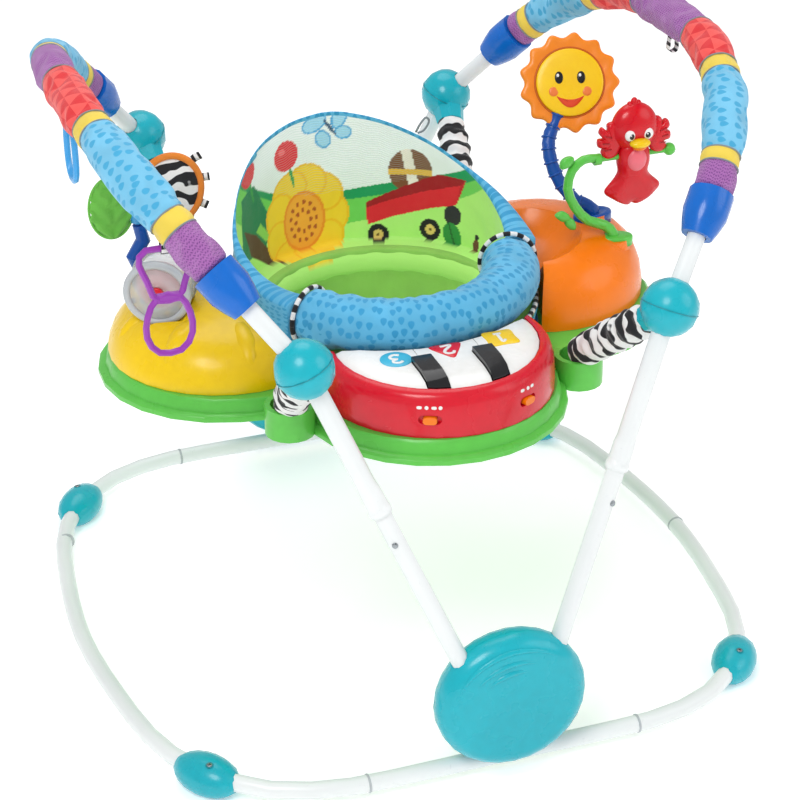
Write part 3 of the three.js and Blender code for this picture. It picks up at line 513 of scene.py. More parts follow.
def tube_rows(path, radius, columns=16):
    """Rings of a round section; radius is a number or a function of the share of the way and the angle."""
    frames = section_frames(path)
    rows = []
    for i, (p, side, up) in enumerate(frames):
        ring = []
        for j in range(columns):
            turn = TAU * j / columns
            r = radius(i / (len(frames) - 1), turn) if callable(radius) else radius
            ring.append(p + side * (r * math.cos(turn)) + up * (r * math.sin(turn)))
        rows.append(ring)
    return rows


def tube(name, path, radius, material, body, slot, columns):
    return dressed(skin(name, tube_rows(path, radius, columns), [material]), body, slot)


def circle(centre, across, up, radius, count):
    turns = [TAU * k / count for k in range(count)]
    return [centre + across * (radius * math.cos(t)) + up * (radius * math.sin(t)) for t in turns]


def hoop(name, path, radius, material, body, slot, columns=10):
    """A round cord along a closed path."""
    rows = [[p + d for d in offsets] for p, offsets in zip(path, ring_offsets(path, radius, columns))]
    return dressed(skin(name, rows, [material], closed_rows=True, caps=False), body, slot)


def mirrored(point, sx, sy):
    """A point of the rear right corner, at another corner."""
    return Vector((point.x * sx, point.y * sy, point.z))


def dressed(made, body, slot, *nodes):
    """Gives a piece its body and hides the CAD nodes that it replaces; slot is not used."""
    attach(made, body)
    if nodes:
        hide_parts(*nodes)
    return made


def smooth_curve(points, steps, closed=False):
    """Catmull-Rom points through a list, evenly shared between its spans."""
    points = [Vector(p) for p in points]
    count = len(points)
    spans = count if closed else count - 1
    out = []
    for s in range(spans):
        if closed:
            a, b, c, d = (points[(s + k - 1) % count] for k in range(4))
        else:
            b, c = points[s], points[s + 1]
            a = points[s - 1] if s else b * 2 - c
            d = points[s + 2] if s + 2 < count else c * 2 - b
        for i in range(steps):
            t = i / steps
            out.append(((b * 2) + (c - a) * t + (a * 2 - b * 5 + c * 4 - d) * t * t
                        + (b * 3 - a - c * 3 + d) * t ** 3) * 0.5)
    if not closed:
        out.append(points[-1])
    return out


def subdivide(made, levels=1):
    modifier = made.modifiers.new("smooth", "SUBSURF")
    modifier.levels = modifier.render_levels = levels


def puff(made, pressure, limit, pinned=(), grow=0.0):
    """Blows a closed skin up with cloth pressure, and keeps every point within limit (mm) of its start."""
    mesh = made.data
    start = np.empty(len(mesh.vertices) * 3)
    mesh.vertices.foreach_get("co", start)
    start = start.reshape(-1, 3)
    group = made.vertex_groups.new(name="pin")
    group.add([int(i) for i in pinned], 1.0, "REPLACE")
    cloth = made.modifiers.new("puff", "CLOTH")
    settings = cloth.settings
    settings.quality = 5
    settings.mass = 0.15
    settings.use_pressure = True
    settings.uniform_pressure_force = pressure
    settings.shrink_min = -grow
    settings.effector_weights.gravity = 0
    settings.vertex_group_mass = "pin"
    cloth.point_cache.frame_start, cloth.point_cache.frame_end = 1, 20
    scene = bpy.context.scene
    for number in range(1, 21):
        scene.frame_set(number)
    moved_mesh = made.evaluated_get(bpy.context.evaluated_depsgraph_get()).to_mesh()
    moved = np.empty(len(start) * 3)
    moved_mesh.vertices.foreach_get("co", moved)
    moved = moved.reshape(-1, 3)
    made.modifiers.remove(cloth)
    scene.frame_set(1)
    shift = moved - start
    size = np.linalg.norm(shift, axis=1, keepdims=True)
    shift *= np.minimum(1, limit * MM / np.maximum(size, 1e-9))
    mesh.vertices.foreach_set("co", (start + shift).ravel())
    mesh.update()


def soften(made, limit=40):
    """Smooth shading across faces that meet at less than the limit, without changing the mesh."""
    mesh = made.data
    co = np.empty(len(mesh.vertices) * 3)
    mesh.vertices.foreach_get("co", co)
    _, point = np.unique(np.round(co.reshape(-1, 3) * 5e4).astype(int), axis=0, return_inverse=True)
    point = point.ravel()
    vertex = np.empty(len(mesh.loops), int)
    mesh.loops.foreach_get("vertex_index", vertex)
    owner = np.concatenate([[p.index] * p.loop_total for p in mesh.polygons])
    normal = np.array([p.normal for p in mesh.polygons])[owner]
    area = np.array([p.area for p in mesh.polygons])[owner]
    order = np.argsort(point[vertex], kind="stable")
    ids = point[vertex][order]
    splits = np.split(order, np.flatnonzero(np.diff(ids)) + 1)
    result = np.zeros_like(normal)
    threshold = math.cos(math.radians(limit))
    for group in splits:
        n = normal[group]
        near = (n @ n.T > threshold) * area[group]
        result[group] = near @ n
    result /= np.maximum(np.linalg.norm(result, axis=1, keepdims=True), 1e-12)
    mesh.polygons.foreach_set("use_smooth", np.ones(len(mesh.polygons), bool))
    mesh.normals_split_custom_set(result.tolist())


def wear(node, material, limit=40):
    """A CAD node kept as it is, with a real material and smooth shading."""
    made = NODES[node]
    made.data.materials.clear()
    made.data.materials.append(MATERIALS[material])
    made.data.polygons.foreach_set("material_index", np.zeros(len(made.data.polygons), np.int32))
    soften(made, limit)


CORNERS = {"front_left": (-1, -1), "front_right": (1, -1), "rear_left": (-1, 1), "rear_right": (1, 1)}
SIDES = {"left": -1, "right": 1}
ENDS = {"front": -1, "rear": 1}


def dress_cad():
    for part in ("front", "rear", "left", "right"):
        wear(f"base_tube_{part}", "tube")
    for end in ENDS:
        wear(f"hub_cover_{end}", "teal")
        wear(f"hub_shell_{end}", "teal")
    for corner in CORNERS:
        wear(f"foot_{corner}", "teal")
        wear(f"leg_lower_{corner}", "tube")
        wear(f"leg_upper_{corner}", "tube")
        wear(f"joint_ball_{corner}", "teal")
    for side in SIDES:
        wear(f"arch_tube_{side}", "tube")
        for end in ENDS:
            wear(f"arch_cap_{end}_{side}", "blue", 50)
    plain = {"tray_base": "green", "yellow_station": "yellow", "orange_station": "orange",
             "piano_housing": "red",
             "switch_volume": "orange", "switch_power": "orange", "white_key_1": "white",
             "white_key_2": "white",
             "white_key_3": "white", "black_keys": "black", "seat_ring": "seat_blue", "sun_stalk": "navy",
             "bird_hoop": "leaf", "flutter_post": "navy", "purple_link": "purple", "blue_link": "light_blue",
             "orange_link": "orange"}
    for node, material in plain.items():
        wear(node, material)


# ---------------------------------------------------------------- arches and their sleeves
BALL = Vector((222, 371, 559))
LEG_FOOT = Vector((67, 437, 187))
LEAN = math.radians(37.8)
START = math.radians(26.4)
RISE = 121
BEND = 295
ARC = BEND * (math.pi / 2 - START)
FLAT = BALL.y - RISE * math.sin(START) - BEND * math.cos(START)
ARCH_HALF = RISE + ARC + FLAT
SLEEVE_FROM = 148.3
SLEEVE_R = 23.5


def arch_point(distance, side):
    """Point on an arch's centre line, by distance from its front ball."""
    near = min(distance, 2 * ARCH_HALF - distance)
    rise = min(near, RISE)
    turn = START + min(max(near - RISE, 0), ARC) / BEND
    flat = max(near - RISE - ARC, 0)
    u = rise * math.cos(START) + BEND * (math.sin(turn) - math.sin(START))
    y = BALL.y - rise * math.sin(START) - BEND * (math.cos(START) - math.cos(turn)) - flat
    if distance <= ARCH_HALF:
        y = -y
    return Vector((side * (BALL.x + u * math.sin(LEAN)), y, BALL.z + u * math.cos(LEAN)))


def arch_frame(distance, side):
    across = Vector((side * math.cos(LEAN), 0, -math.sin(LEAN)))
    along = (arch_point(distance + 0.5, side) - arch_point(distance - 0.5, side)).normalized()
    return arch_point(distance, side), across, along.cross(across)


SLEEVE_KINDS = ["net", "band", "drops", "triangles"]
SLEEVES = {
    "right": [("net", 182), ("band", 199), ("drops", 318), ("band", 340), ("triangles", 424), ("net", 579),
              ("triangles", 684), ("band", 704), ("drops", 816), ("band", 834), ("net", 854.5)],
    "left": [("net", 203), ("band", 225), ("drops", 372), ("band", 393), ("triangles", 537), ("net", 640),
             ("band", 662), ("drops", 800), ("band", 820), ("net", 854.5)],
}
SWELL = {"net": 0.6, "band": 0.8, "drops": 3.4, "triangles": 1.8}


def sleeve(side_name):
    """One padded sleeve: four kinds of cloth sewn end to end, each swelling between its seams."""
    side, columns = SIDES[side_name], 36
    rows, kinds, pinned, at = [], [], [], SLEEVE_FROM
    for kind, end in SLEEVES[side_name]:
        steps = max(3, round((end - at) / 5.0))
        for i in range(steps + (end == SLEEVES[side_name][-1][1])):
            distance = at + (end - at) * i / steps
            edge = min(distance - at, end - distance)
            swell = SWELL[kind] * (1 - math.exp(-edge / 9))
            pinch = 1.3 * math.exp(-edge / 3)
            gather = 1.1 * math.exp(-edge / 14)
            centre, across, up = arch_frame(distance, side)
            ring = []
            for j in range(columns):
                turn = TAU * j / columns
                cos, sin = math.cos(turn), math.sin(turn)
                fold = noise.noise(Vector((distance / 30, cos * 1.6 + side * 5, sin * 1.6))) * 1.5
                pleat = gather * noise.noise(Vector((distance / 60, cos * 5.5, sin * 5.5 + end)))
                r = SLEEVE_R - 0.6 + swell - pinch + fold + 1.6 * pleat
                ring.append(centre + across * (r * cos) + up * (r * sin))
            if edge < 0.01:
                pinned += range(len(rows) * columns, (len(rows) + 1) * columns)
            rows.append(ring)
            kinds.append(SLEEVE_KINDS.index(kind))
        at = end
    name = f"arch_sleeve_cover_{side_name}"
    made = skin(name, rows, SLEEVE_KINDS, row_material=kinds)
    puff(made, 3.0, 3.5, pinned, 0.03)
    subdivide(made, 1)
    dressed(made, "frame", "arch_fabric", f"arch_sleeve_{side_name}")
    for number, (kind, end) in enumerate(SLEEVES[side_name][:-1]):
        seam_ring(f"sleeve_seam_{side_name}_{number + 1}", end, side)


def seam_ring(name, distance, side):
    """The rolled edge where two cloths of a sleeve are sewn together."""
    centre, across, up = arch_frame(distance, side)
    path = []
    for j in range(40):
        turn = TAU * j / 40
        r = SLEEVE_R - 0.7 + 0.5 * noise.noise(Vector((distance, math.cos(turn) * 2, math.sin(turn) * 2)))
        path.append(centre + across * (r * math.cos(turn)) + up * (r * math.sin(turn)))
    hoop(name, path, 1.1, "thread", "frame", "arch_fabric", 6)


def ring_offsets(path, radius, columns):
    """Small round sections for a closed path."""
    count = len(path)
    centre = sum(path, Vector()) / count
    out = []
    for i, p in enumerate(path):
        along = (path[(i + 1) % count] - path[i - 1]).normalized()
        outward = (p - centre)
        outward = (outward - along * outward.dot(along)).normalized()
        side = along.cross(outward)
        out.append([outward * (radius * math.cos(TAU * j / columns))
                    + side * (radius * math.sin(TAU * j / columns))
                    for j in range(columns)])
    return out


LINK_DROP = 17
WEBBING_WIDTH = 10.5
WEBBING_FOLD = 6.0


def hang_point(side, distance, inset=0, extra=0):
    p = arch_point(distance, side)
    return Vector((p.x - side * inset, p.y, p.z - SLEEVE_R - LINK_DROP - extra))


def webbing_loop(name, bar, facing, rise):
    """A folded strap sewn under a sleeve, with a link's bar in its fold."""
    across = Vector((0, 0, 1)).cross(facing)
    outline = [(-1.4, rise), (-4.6, rise * 0.55), (-WEBBING_FOLD, 0)]
    turns = [math.pi + math.pi * k / 8 for k in range(1, 8)]
    outline += [(WEBBING_FOLD * math.cos(turn), WEBBING_FOLD * math.sin(turn)) for turn in turns]
    outline += [(WEBBING_FOLD, 0), (4.6, rise * 0.55), (1.4, rise)]
    path = smooth_curve([bar + across * a + Vector((0, 0, z)) for a, z in outline], 3)
    section = ((-1, -1), (-0.96, 1), (-0.4, 1.15), (0.4, 1.15), (0.96, 1), (1, -1), (0.4, -1.1), (-0.4, -1.1))
    half, thick = WEBBING_WIDTH / 2, 0.65
    rows = []
    for p, _, _ in section_frames(path):
        out = (p - bar)
        out = (out - facing * out.dot(facing)).normalized()
        rows.append([p + facing * (half * a) + out * (thick * b) for a, b in section])
    dressed(skin(name, rows, ["webbing"]), "frame", "arch_fabric")


def webbing_loops():
    x, y = Vector((1, 0, 0)), Vector((0, 1, 0))
    webbing_loop("purple_link_strap", hang_point(-1, 233), x, LINK_DROP + 6)
    webbing_loop("blue_link_strap", hang_point(-1, 510), y, LINK_DROP + 6)
    webbing_loop("orange_link_strap", hang_point(1, 207, 20, 6), x, LINK_DROP + 18)
    webbing_loop("spare_strap", hang_point(1, 495), y, LINK_DROP + 6)


# ---------------------------------------------------------------- tethers
BOSS = Vector((188, 191, 420))


def tether(corner):
    """A gathered zebra sleeve over a spring, from the ball joint to the tray."""
    sx, sy = CORNERS[corner]
    top, foot = mirrored(BALL, sx, sy), mirrored(BOSS, sx, sy)
    along = (foot - top).normalized()
    length = (foot - top).length
    steps, columns = 84, 32
    path = [top + along * (44 + (length - 44 - 2) * i / steps) for i in range(steps + 1)]
    seed = sx * 3.1 + sy * 7.7

    def radius(t, turn):
        gather = math.sin(TAU * (t * 8.5 + 0.16 * math.sin(turn + seed) + 0.1 * math.sin(2 * turn - seed)))
        crease = noise.noise(Vector((t * 26 + seed, math.cos(turn) * 1.8, math.sin(turn) * 1.8)))
        neck = 1 - 0.3 * math.exp(-t * 22) - 0.25 * math.exp(-(1 - t) * 24)
        return (20.6 + 1.7 * gather + 2.6 * crease) * neck

    made = skin(f"tether_cover_{corner}", tube_rows(path, radius, columns), ["zebra"])
    subdivide(made, 1)
    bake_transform(made)
    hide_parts(f"tether_sleeve_{corner}")


# ---------------------------------------------------------------- seat
def on_wall(radius, degrees, z):
    turn = math.radians(degrees)
    return Vector((radius * math.cos(turn), radius * math.sin(turn), z))


ROLL_FROM, ROLL_TO = 215, 351
ROLL_R, ROLL_Z, ROLL_SECTION = 160, 482.5, 37.5


def roll_section(degrees, turn, size):
    """A point on the roll: a little flattened underneath, where it rests on the seat's ring."""
    r = size * math.cos(turn)
    z = size * math.sin(turn)
    if z < -0.8 * size:
        z = -0.8 * size + (z + 0.8 * size) * 0.7
    return on_wall(ROLL_R + r, degrees, ROLL_Z + z)


def seat_roll():
    steps, columns = 70, 44
    rows, pinned = [], []
    seam = 31
    for i in range(steps + 1):
        t = i / steps
        degrees = ROLL_FROM + (ROLL_TO - ROLL_FROM) * t
        edge = min(t, 1 - t) * math.radians(ROLL_TO - ROLL_FROM) * ROLL_R
        size = ROLL_SECTION - 2.6 - 4.5 * math.exp(-edge / 7)
        ring = []
        for j in range(columns):
            turn = TAU * j / columns
            crease = noise.noise(Vector((t * 17, math.cos(turn) * 1.4, math.sin(turn) * 1.4)))
            inward = max(0.0, math.cos(turn - math.radians(155)))
            gather = inward * 1.7 * math.sin(TAU * (t * 15 + 0.35 * math.sin(t * 19)))
            ring.append(roll_section(degrees, turn, size + 1.4 * crease + gather))
        if i in (0, steps):
            pinned += range(i * columns, (i + 1) * columns)
        else:
            pinned.append(i * columns + seam)
        rows.append(ring)
    made = skin("seat_roll_cushion", rows, ["seat_drops"])
    puff(made, 4.0, 4.0, pinned, 0.035)
    subdivide(made, 1)
    dressed(made, "seat", "seat_fabric", "seat_roll")
    seam_turn = TAU * seam / columns
    angles = np.linspace(ROLL_FROM + 1, ROLL_TO - 1, 81)
    path = [roll_section(angle, seam_turn, ROLL_SECTION - 1.6) for angle in angles]
    tube("roll_seam", path, 1.0, "seam_blue", "seat", "seat_fabric", 8)
    for end, degrees in (("left", ROLL_FROM + 0.8), ("right", ROLL_TO - 0.8)):
        ring = [roll_section(degrees, TAU * k / 60, ROLL_SECTION - 1.2) for k in range(60)]
        hoop(f"roll_piping_{end}", ring, 3.1, "check", "seat", "seat_fabric")
    hem = [on_wall(193.5, angle, 446.5) for angle in np.linspace(ROLL_FROM - 1, ROLL_TO + 1, 91)]
    tube("roll_hem_piping", hem, 3.4, "check", "seat", "seat_fabric", 12)


BACK_TOP = [(-8, 512), (0, 514), (16, 534), (34, 560), (53, 592), (72, 618), (92, 636), (112, 632),
            (130, 617), (145, 592), (160, 565), (175, 540), (190, 521), (204, 513), (214.3, 512)]
BACK_FROM, BACK_TO = BACK_TOP[0][0], BACK_TOP[-1][0]
BACK_BASE = 446
BACK_INNER, BACK_OUTER = 184, 198
BOWL_EDGE = [(0.3, 445.6), (0.62, 443.4), (0.86, 438.0), (0.97, 430.0), (1.0, 420.0)]


def back_top(degrees):
    tops = np.array(BACK_TOP, float)
    fine = np.interp([degrees - 5, degrees, degrees + 5], tops[:, 0], tops[:, 1])
    return float(fine.mean())


def ellipse(x, y, cx, cy, rx, ry, tilt=0.0):
    """Signed measure of an ellipse: above 0 inside."""
    c, s = math.cos(math.radians(tilt)), math.sin(math.radians(tilt))
    u, v = (x - cx) * c + (y - cy) * s, (y - cy) * c - (x - cx) * s
    return 1 - np.sqrt((u / rx) ** 2 + (v / ry) ** 2)


def polygon(x, y, corners):
    """True inside a convex outline, given anticlockwise."""
    inside = np.ones_like(x, bool)
    for (ax, ay), (bx, by) in zip(corners, corners[1:] + corners[:1]):
        inside &= (bx - ax) * (y - ay) - (by - ay) * (x - ax) >= 0
    return inside


def print_colours(x, z):
    """The printed picture, in mm: x runs round the wall, left to right as the carer sees it, and z is height."""
    colour = np.empty(x.shape + (3,))
    net = np.zeros(x.shape)

    def lay(mask, code):
        colour[mask] = rgb(code)[:3]

    lay(np.ones_like(x, bool), "B6F07C")
    hill = 516 + 0.00165 * (x - 10) ** 2 + 3 * np.sin(x / 38)
    lay(z > hill - 48 + 0.06 * x, "6FD058")
    lay(z > hill - 13 - 0.03 * x, "159A5C")
    sky = z > hill + 1
    lay(sky, "F3F9F7")
    net[sky] = 1
    lay(polygon(x, z, [(-196, 470), (-128, 470), (-118, 512), (-150, 566), (-192, 560)]), "0A7F52")
    lay(polygon(x, z, [(-187, 516), (-168, 473), (-104, 428), (-100, 438), (-150, 496)]), "5A3A22")
    lay(polygon(x, z, [(-150, 500), (-128, 478), (-120, 486), (-138, 508)]), "8ED45A")
    # a round flower with two berries
    for k in range(9):
        turn = TAU * k / 9
        petal = ellipse(x, z, -60 + 42 * math.cos(turn), 486 + 54 * math.sin(turn), 26, 31,
                        math.degrees(turn))
        lay(petal > 0, "F4BE1A")
        lay(petal > 0.12, "FAD02A")
    lay(ellipse(x, z, -60, 486, 34, 42) > 0, "F0901E")
    lay(ellipse(x, z, -60, 486, 30, 38) > 0, "F8A830")
    for ring_size, count in ((0.45, 8), (0.8, 13)):
        for k in range(count):
            turn = TAU * k / count
            seed = ellipse(x, z, -60 + 26 * ring_size * math.cos(turn), 486 + 33 * ring_size * math.sin(turn),
                           2.7, 3.2)
            lay(seed > 0, "B4551A")
    for cx, cz in ((-166, 590), (-84, 584)):
        lay(ellipse(x, z, cx + 8, cz - 26, 2.6, 22, 12) > 0, "2F9C46")
        lay(ellipse(x, z, cx, cz, 21, 21) > 0, "E52A38")
        lay(ellipse(x, z, cx - 7, cz + 7, 6, 4.5) > 0, "F46A70")
    # a plain toy cart carrying a ball
    ball = ellipse(x, z, 90, 542, 29, 31) > 0
    lay(ball, "7E4E2E")
    lay(ball & (np.abs(x - 90 + 0.2 * (z - 542)) < 7), "F4EBDD")
    lay(ball & (np.abs(z - 540) < 4), "E9B53A")
    for cx, cz, size in ((117, 463, 11), (150, 486, 13)):
        lay(ellipse(x, z, cx, cz, size, size + 1) > 0, "2A2A2E")
    lay(polygon(x, z, [(32, 478), (158, 513), (169, 540), (128, 540), (30, 497)]), "A3121C")
    lay(polygon(x, z, [(32, 465), (155, 502), (160, 530), (30, 489)]), "E0222F")
    lay(polygon(x, z, [(155, 502), (170, 541), (160, 530)]), "C81A26")
    for cx, cz in ((46, 450), (117, 460)):
        lay(ellipse(x, z, cx, cz, 14.5, 15.5) > 0, "17171B")
        lay(ellipse(x, z, cx, cz, 7, 7.6) > 0, "E3C56C")
        lay(ellipse(x, z, cx, cz, 1.8, 2) > 0, "6A5420")
    # butterfly
    for cx, cz, rx, rz, tilt in ((-38, 618, 19, 12, 20), (-2, 624, 20, 11, 70), (-26, 594, 11, 14, 30),
                                 (2, 600, 12, 10, -10)):
        lay(ellipse(x, z, cx, cz, rx, rz, tilt) > 0, "4FA9DF")
        lay(ellipse(x, z, cx, cz, rx - 2.6, rz - 2.6, tilt) > 0, "A5DAF3")
    lay(ellipse(x, z, -16, 609, 2.4, 15, 35) > 0, "2B4F73")
    # a leaf and a beetle low on the right
    leaf = ellipse(x, z, 150, 457, 14, 19, 15) > 0
    lay(leaf, "2C8F3E")
    lay(leaf & (np.abs((x - 150) + 0.3 * (z - 457)) < 1.2), "1B5A28")
    lay(ellipse(x, z, 190, 452, 5.5, 12, -12) > 0, "6B3A24")
    lay(ellipse(x, z, 192, 466, 3.6, 4, 0) > 0, "20201F")
    return colour, net


CLOTH, PICTURE = 0, 1


def seat_back():
    """The high wrap of the seat: thin printed cloth, padded blue rim that thickens towards the roll."""
    columns = 380
    degrees = np.linspace(BACK_FROM, BACK_TO, columns)
    outer_rows, rim_rows, inner_rows = 22, 12, 116
    rows, kinds = [], []
    tops = np.array([back_top(d) for d in degrees])
    from_end = np.minimum(degrees - BACK_FROM, BACK_TO - degrees)
    swell = 26 * np.clip(1 - from_end / 45, 0, 1) ** 1.2

    thin_at_top = np.clip((tops - 512) / 60, 0, 1)

    def wall(share, inner):
        """Radius of one face of the wrap at a share of its height: the upper middle is only cloth."""
        thin = thin_at_top * np.clip(share * 1.6 - 0.1, 0, 1)
        if inner:
            return BACK_INNER - swell + 3.0 * thin
        return BACK_OUTER - 9.4 * thin

    turn = np.radians(degrees)

    def ring(radius, z):
        return np.stack([radius * np.cos(turn), radius * np.sin(turn), z], axis=-1)

    def folds(share, seed):
        low = (1 - share) ** 2
        wave = np.array([noise.noise(Vector((d / 7.0, share * 2.2, seed))) for d in degrees])
        soft = np.array([noise.noise(Vector((d / 16.0, share * 3.5, seed + 4))) for d in degrees])
        return 2.4 * low * wave + 2.0 * soft

    for i in range(outer_rows):
        share = i / outer_rows
        z = BACK_BASE + (tops - 6 - BACK_BASE) * share
        rows.append(ring(wall(share, False) + folds(share, 9) * 0.5, z))
        kinds.append(CLOTH)
    for i in range(rim_rows + 1):
        arc = math.pi * i / rim_rows
        outer, inner = wall(1.0, False), wall(1.0, True)
        middle, half = (outer + inner) / 2, (outer - inner) / 2
        lift = np.minimum(6.0, 2.0 + half * 0.5)
        rows.append(ring(middle + half * math.cos(arc), tops - 6 + lift * math.sin(arc)))
        kinds.append(CLOTH)
    for i in range(1, inner_rows + 1):
        share = 1 - i / inner_rows
        z = BACK_BASE + (tops - 6 - BACK_BASE) * share
        rows.append(ring(wall(share, True) - folds(share, 2), z))
        kinds.append(PICTURE if i > 1 else CLOTH)
    foot = wall(0.0, True)
    for share, z in BOWL_EDGE:
        rows.append(ring(foot + (145 - foot) * share, np.full(columns, float(z))))
        kinds.append(PICTURE)
    rows.append(ring(np.full(columns, 150.0), np.full(columns, 402.0)))
    kinds.append(PICTURE)
    rows = np.array(rows)
    middle = np.radians((BACK_FROM + BACK_TO) / 2)
    along = (middle - turn) * BACK_INNER
    drop = np.concatenate([[0], np.cumsum(np.linalg.norm(np.diff(rows[:, columns // 2], axis=0), axis=1))])
    uv = np.stack([np.broadcast_to(along, rows.shape[:2]), np.broadcast_to(drop[:, None], rows.shape[:2])],
                  axis=-1) * MM
    made = skin("seat_back_wrap", rows, ["seat_drops", "picture"], uv=uv, wrap=False, caps=False,
                row_material=kinds, closed_rows=True)
    paint_panel(made, rows, len(BOWL_EDGE) + 1)
    close_edges(made)
    dressed(made, "seat", "seat_fabric", "seat_back")


def paint_panel(made, rows, bowl_rows):
    """Lays the print on the wall, and carries it on over the lip into the bowl."""
    points = rows.reshape(-1, 3)
    reach = np.linalg.norm(rows[..., :2], axis=-1)
    height = rows[..., 2].copy()
    for i in range(len(rows) - bowl_rows, len(rows)):
        step = np.abs(reach[i] - reach[i - 1]) + np.abs(rows[i, :, 2] - rows[i - 1, :, 2])
        height[i] = height[i - 1] - 0.8 * step
    degrees = np.degrees(np.arctan2(points[:, 1], points[:, 0]))
    degrees = np.where(degrees < -60, degrees + 360, degrees)
    x = np.radians(88 - degrees) * BACK_INNER
    colour, net = print_colours(x, height.ravel())
    layer = made.data.color_attributes.new("print", "FLOAT_COLOR", "POINT")
    full = np.concatenate([colour, np.ones((len(colour), 1))], axis=1)
    layer.data.foreach_set("color", full.astype(np.float32).ravel())
    second = made.data.attributes.new("net", "FLOAT", "POINT")
    second.data.foreach_set("value", net.astype(np.float32))


def close_edges(made):
    """Fills the two open ends of a folded sheet so that it is a closed form."""
    grid = bmesh.new()
    grid.from_mesh(made.data)
    border = [e for e in grid.edges if e.is_boundary]
    bmesh.ops.holes_fill(grid, edges=border, sides=0)
    bmesh.ops.recalc_face_normals(grid, faces=grid.faces)
    grid.to_mesh(made.data)
    grid.free()


SLING_OUTER = [(0, 304), (60, 310), (112, 332), (141, 366), (151, 405), (156, 440)]


def copy_of_node(name, node, voxel, smooth):
    """A finer copy of a soft CAD solid, remeshed and relaxed."""
    mesh = NODES[node].data.copy()
    made = bpy.data.objects.new(name, mesh)
    bpy.context.scene.collection.objects.link(made)
    weld = made.modifiers.new("weld", "WELD")
    weld.merge_threshold = 0.00002
    remesh = made.modifiers.new("remesh", "REMESH")
    remesh.mode, remesh.voxel_size = "VOXEL", voxel * MM
    relax = made.modifiers.new("relax", "SMOOTH")
    relax.factor, relax.iterations = 0.5, smooth
    graph = bpy.context.evaluated_depsgraph_get()
    result = bpy.data.meshes.new_from_object(made.evaluated_get(graph))
    made.modifiers.clear()
    made.data = result
    result.name = name
    return made


def seat_sling():
    made = copy_of_node("seat_sling_cloth", "seat_sling", 2.6, 6)
    mesh = made.data
    co = np.empty(len(mesh.vertices) * 3)
    mesh.vertices.foreach_get("co", co)
    co = co.reshape(-1, 3)
    flat = np.linalg.norm(co[:, :2], axis=1)
    uv_point = np.stack([np.arctan2(co[:, 1], co[:, 0]) * 0.12, flat + co[:, 2]], axis=-1)
    for p in co:
        if p[2] < 0.432:
            wrinkle = noise.noise(Vector(p) * 34) * 1.2 + noise.noise(Vector(p) * 90) * 0.4
            p *= 1 + wrinkle * MM / max(0.08, np.linalg.norm(p[:2])) * 0.5
    mesh.vertices.foreach_set("co", co.ravel())
    layer = mesh.uv_layers.new(name="real")
    index = np.empty(len(mesh.loops), int)
    mesh.loops.foreach_get("vertex_index", index)
    layer.data.foreach_set("uv", uv_point[index].astype(np.float32).ravel())
    mesh.materials.clear()
    mesh.materials.append(MATERIALS["lining"])
    mesh.polygons.foreach_set("use_smooth", np.ones(len(mesh.polygons), bool))
    dressed(made, "seat", "seat_lining", "seat_sling")
    for side_name, side in SIDES.items():
        leg_hole_binding(f"leg_hole_binding_{side_name}", side)


def sling_height(radius):
    points = np.array(SLING_OUTER, float)
    return float(np.interp(radius, points[:, 0], points[:, 1]))


def leg_hole_binding(name, side):
    """Rolled binding round a leg hole, where the round cut meets the bowl."""
    start = Vector((side * 40, -45, 345))
    along = (Vector((side * 150, -130, 270)) - start).normalized()
    sideways = along.cross(Vector((0, 0, 1))).normalized()
    up = sideways.cross(along)
    ring = []
    for k in range(72):
        turn = TAU * k / 72
        base = start + sideways * (45.5 * math.cos(turn)) + up * (45.5 * math.sin(turn))
        low, high = -60.0, 140.0
        for _ in range(40):
            t = (low + high) / 2
            p = base + along * t
            inside = p.z > sling_height(math.hypot(p.x, p.y)) and math.hypot(p.x, p.y) < 156
            low, high = (t, high) if inside else (low, t)
        ring.append(base + along * (low - 1.5))
    hoop(name, ring, 3.4, "binding", "seat", "seat_lining")


# ---------------------------------------------------------------- shapes for the toys
def plane(origin, across, up):
    """A place to lay a flat form: its origin, two directions in the plane, and the way it faces."""
    across, up = Vector(across).normalized(), Vector(up).normalized()
    return Vector(origin), across, up, across.cross(up)


def moved(where, a, b, h=0.0):
    origin, across, up, out = where
    return origin + across * a + up * b + out * h, across, up, out


def oval(rx, ry, count=48):
    return [(rx * math.cos(TAU * k / count), ry * math.sin(TAU * k / count)) for k in range(count)]


def rounded(points, steps=5):
    return [(p.x, p.y) for p in smooth_curve([(a, b, 0) for a, b in points], steps, True)]


def plate(name, outline, where, layers, material, body, slot, *nodes):
    """A form on an outline of (across, up) points. layers are (share of the outline, height), back first."""
    origin, across, up, out = where
    rows = [[origin + across * (a * share) + up * (b * share) + out * h for a, b in outline] for share,
            h in layers]
    return dressed(skin(name, rows, [material]), body, slot, *nodes)


def badge(name, outline, where, height, material, body, slot):
    """A thin raised patch with a soft edge."""
    layers = [(1.0, -0.8), (1.0, height - 0.3), (0.97, height), (0.5, height + 0.05)]
    return plate(name, outline, where, layers, material, body, slot)


def ovoid(name, centre, radii, material, body, slot, *nodes, change=None, steps=20, columns=32):
    """A ball stretched to three radii; change may move each point of the unit ball."""
    centre = Vector(centre)
    rows = []
    for i in range(1, steps):
        tilt = -math.pi / 2 + math.pi * i / steps
        ring = []
        for j in range(columns):
            turn = TAU * j / columns
            p = Vector((math.cos(tilt) * math.cos(turn), math.cos(tilt) * math.sin(turn), math.sin(tilt)))
            if change:
                p = change(p)
            ring.append(centre + Vector((p.x * radii[0], p.y * radii[1], p.z * radii[2])))
        rows.append(ring)
    return dressed(skin(name, rows, [material]), body, slot, *nodes)


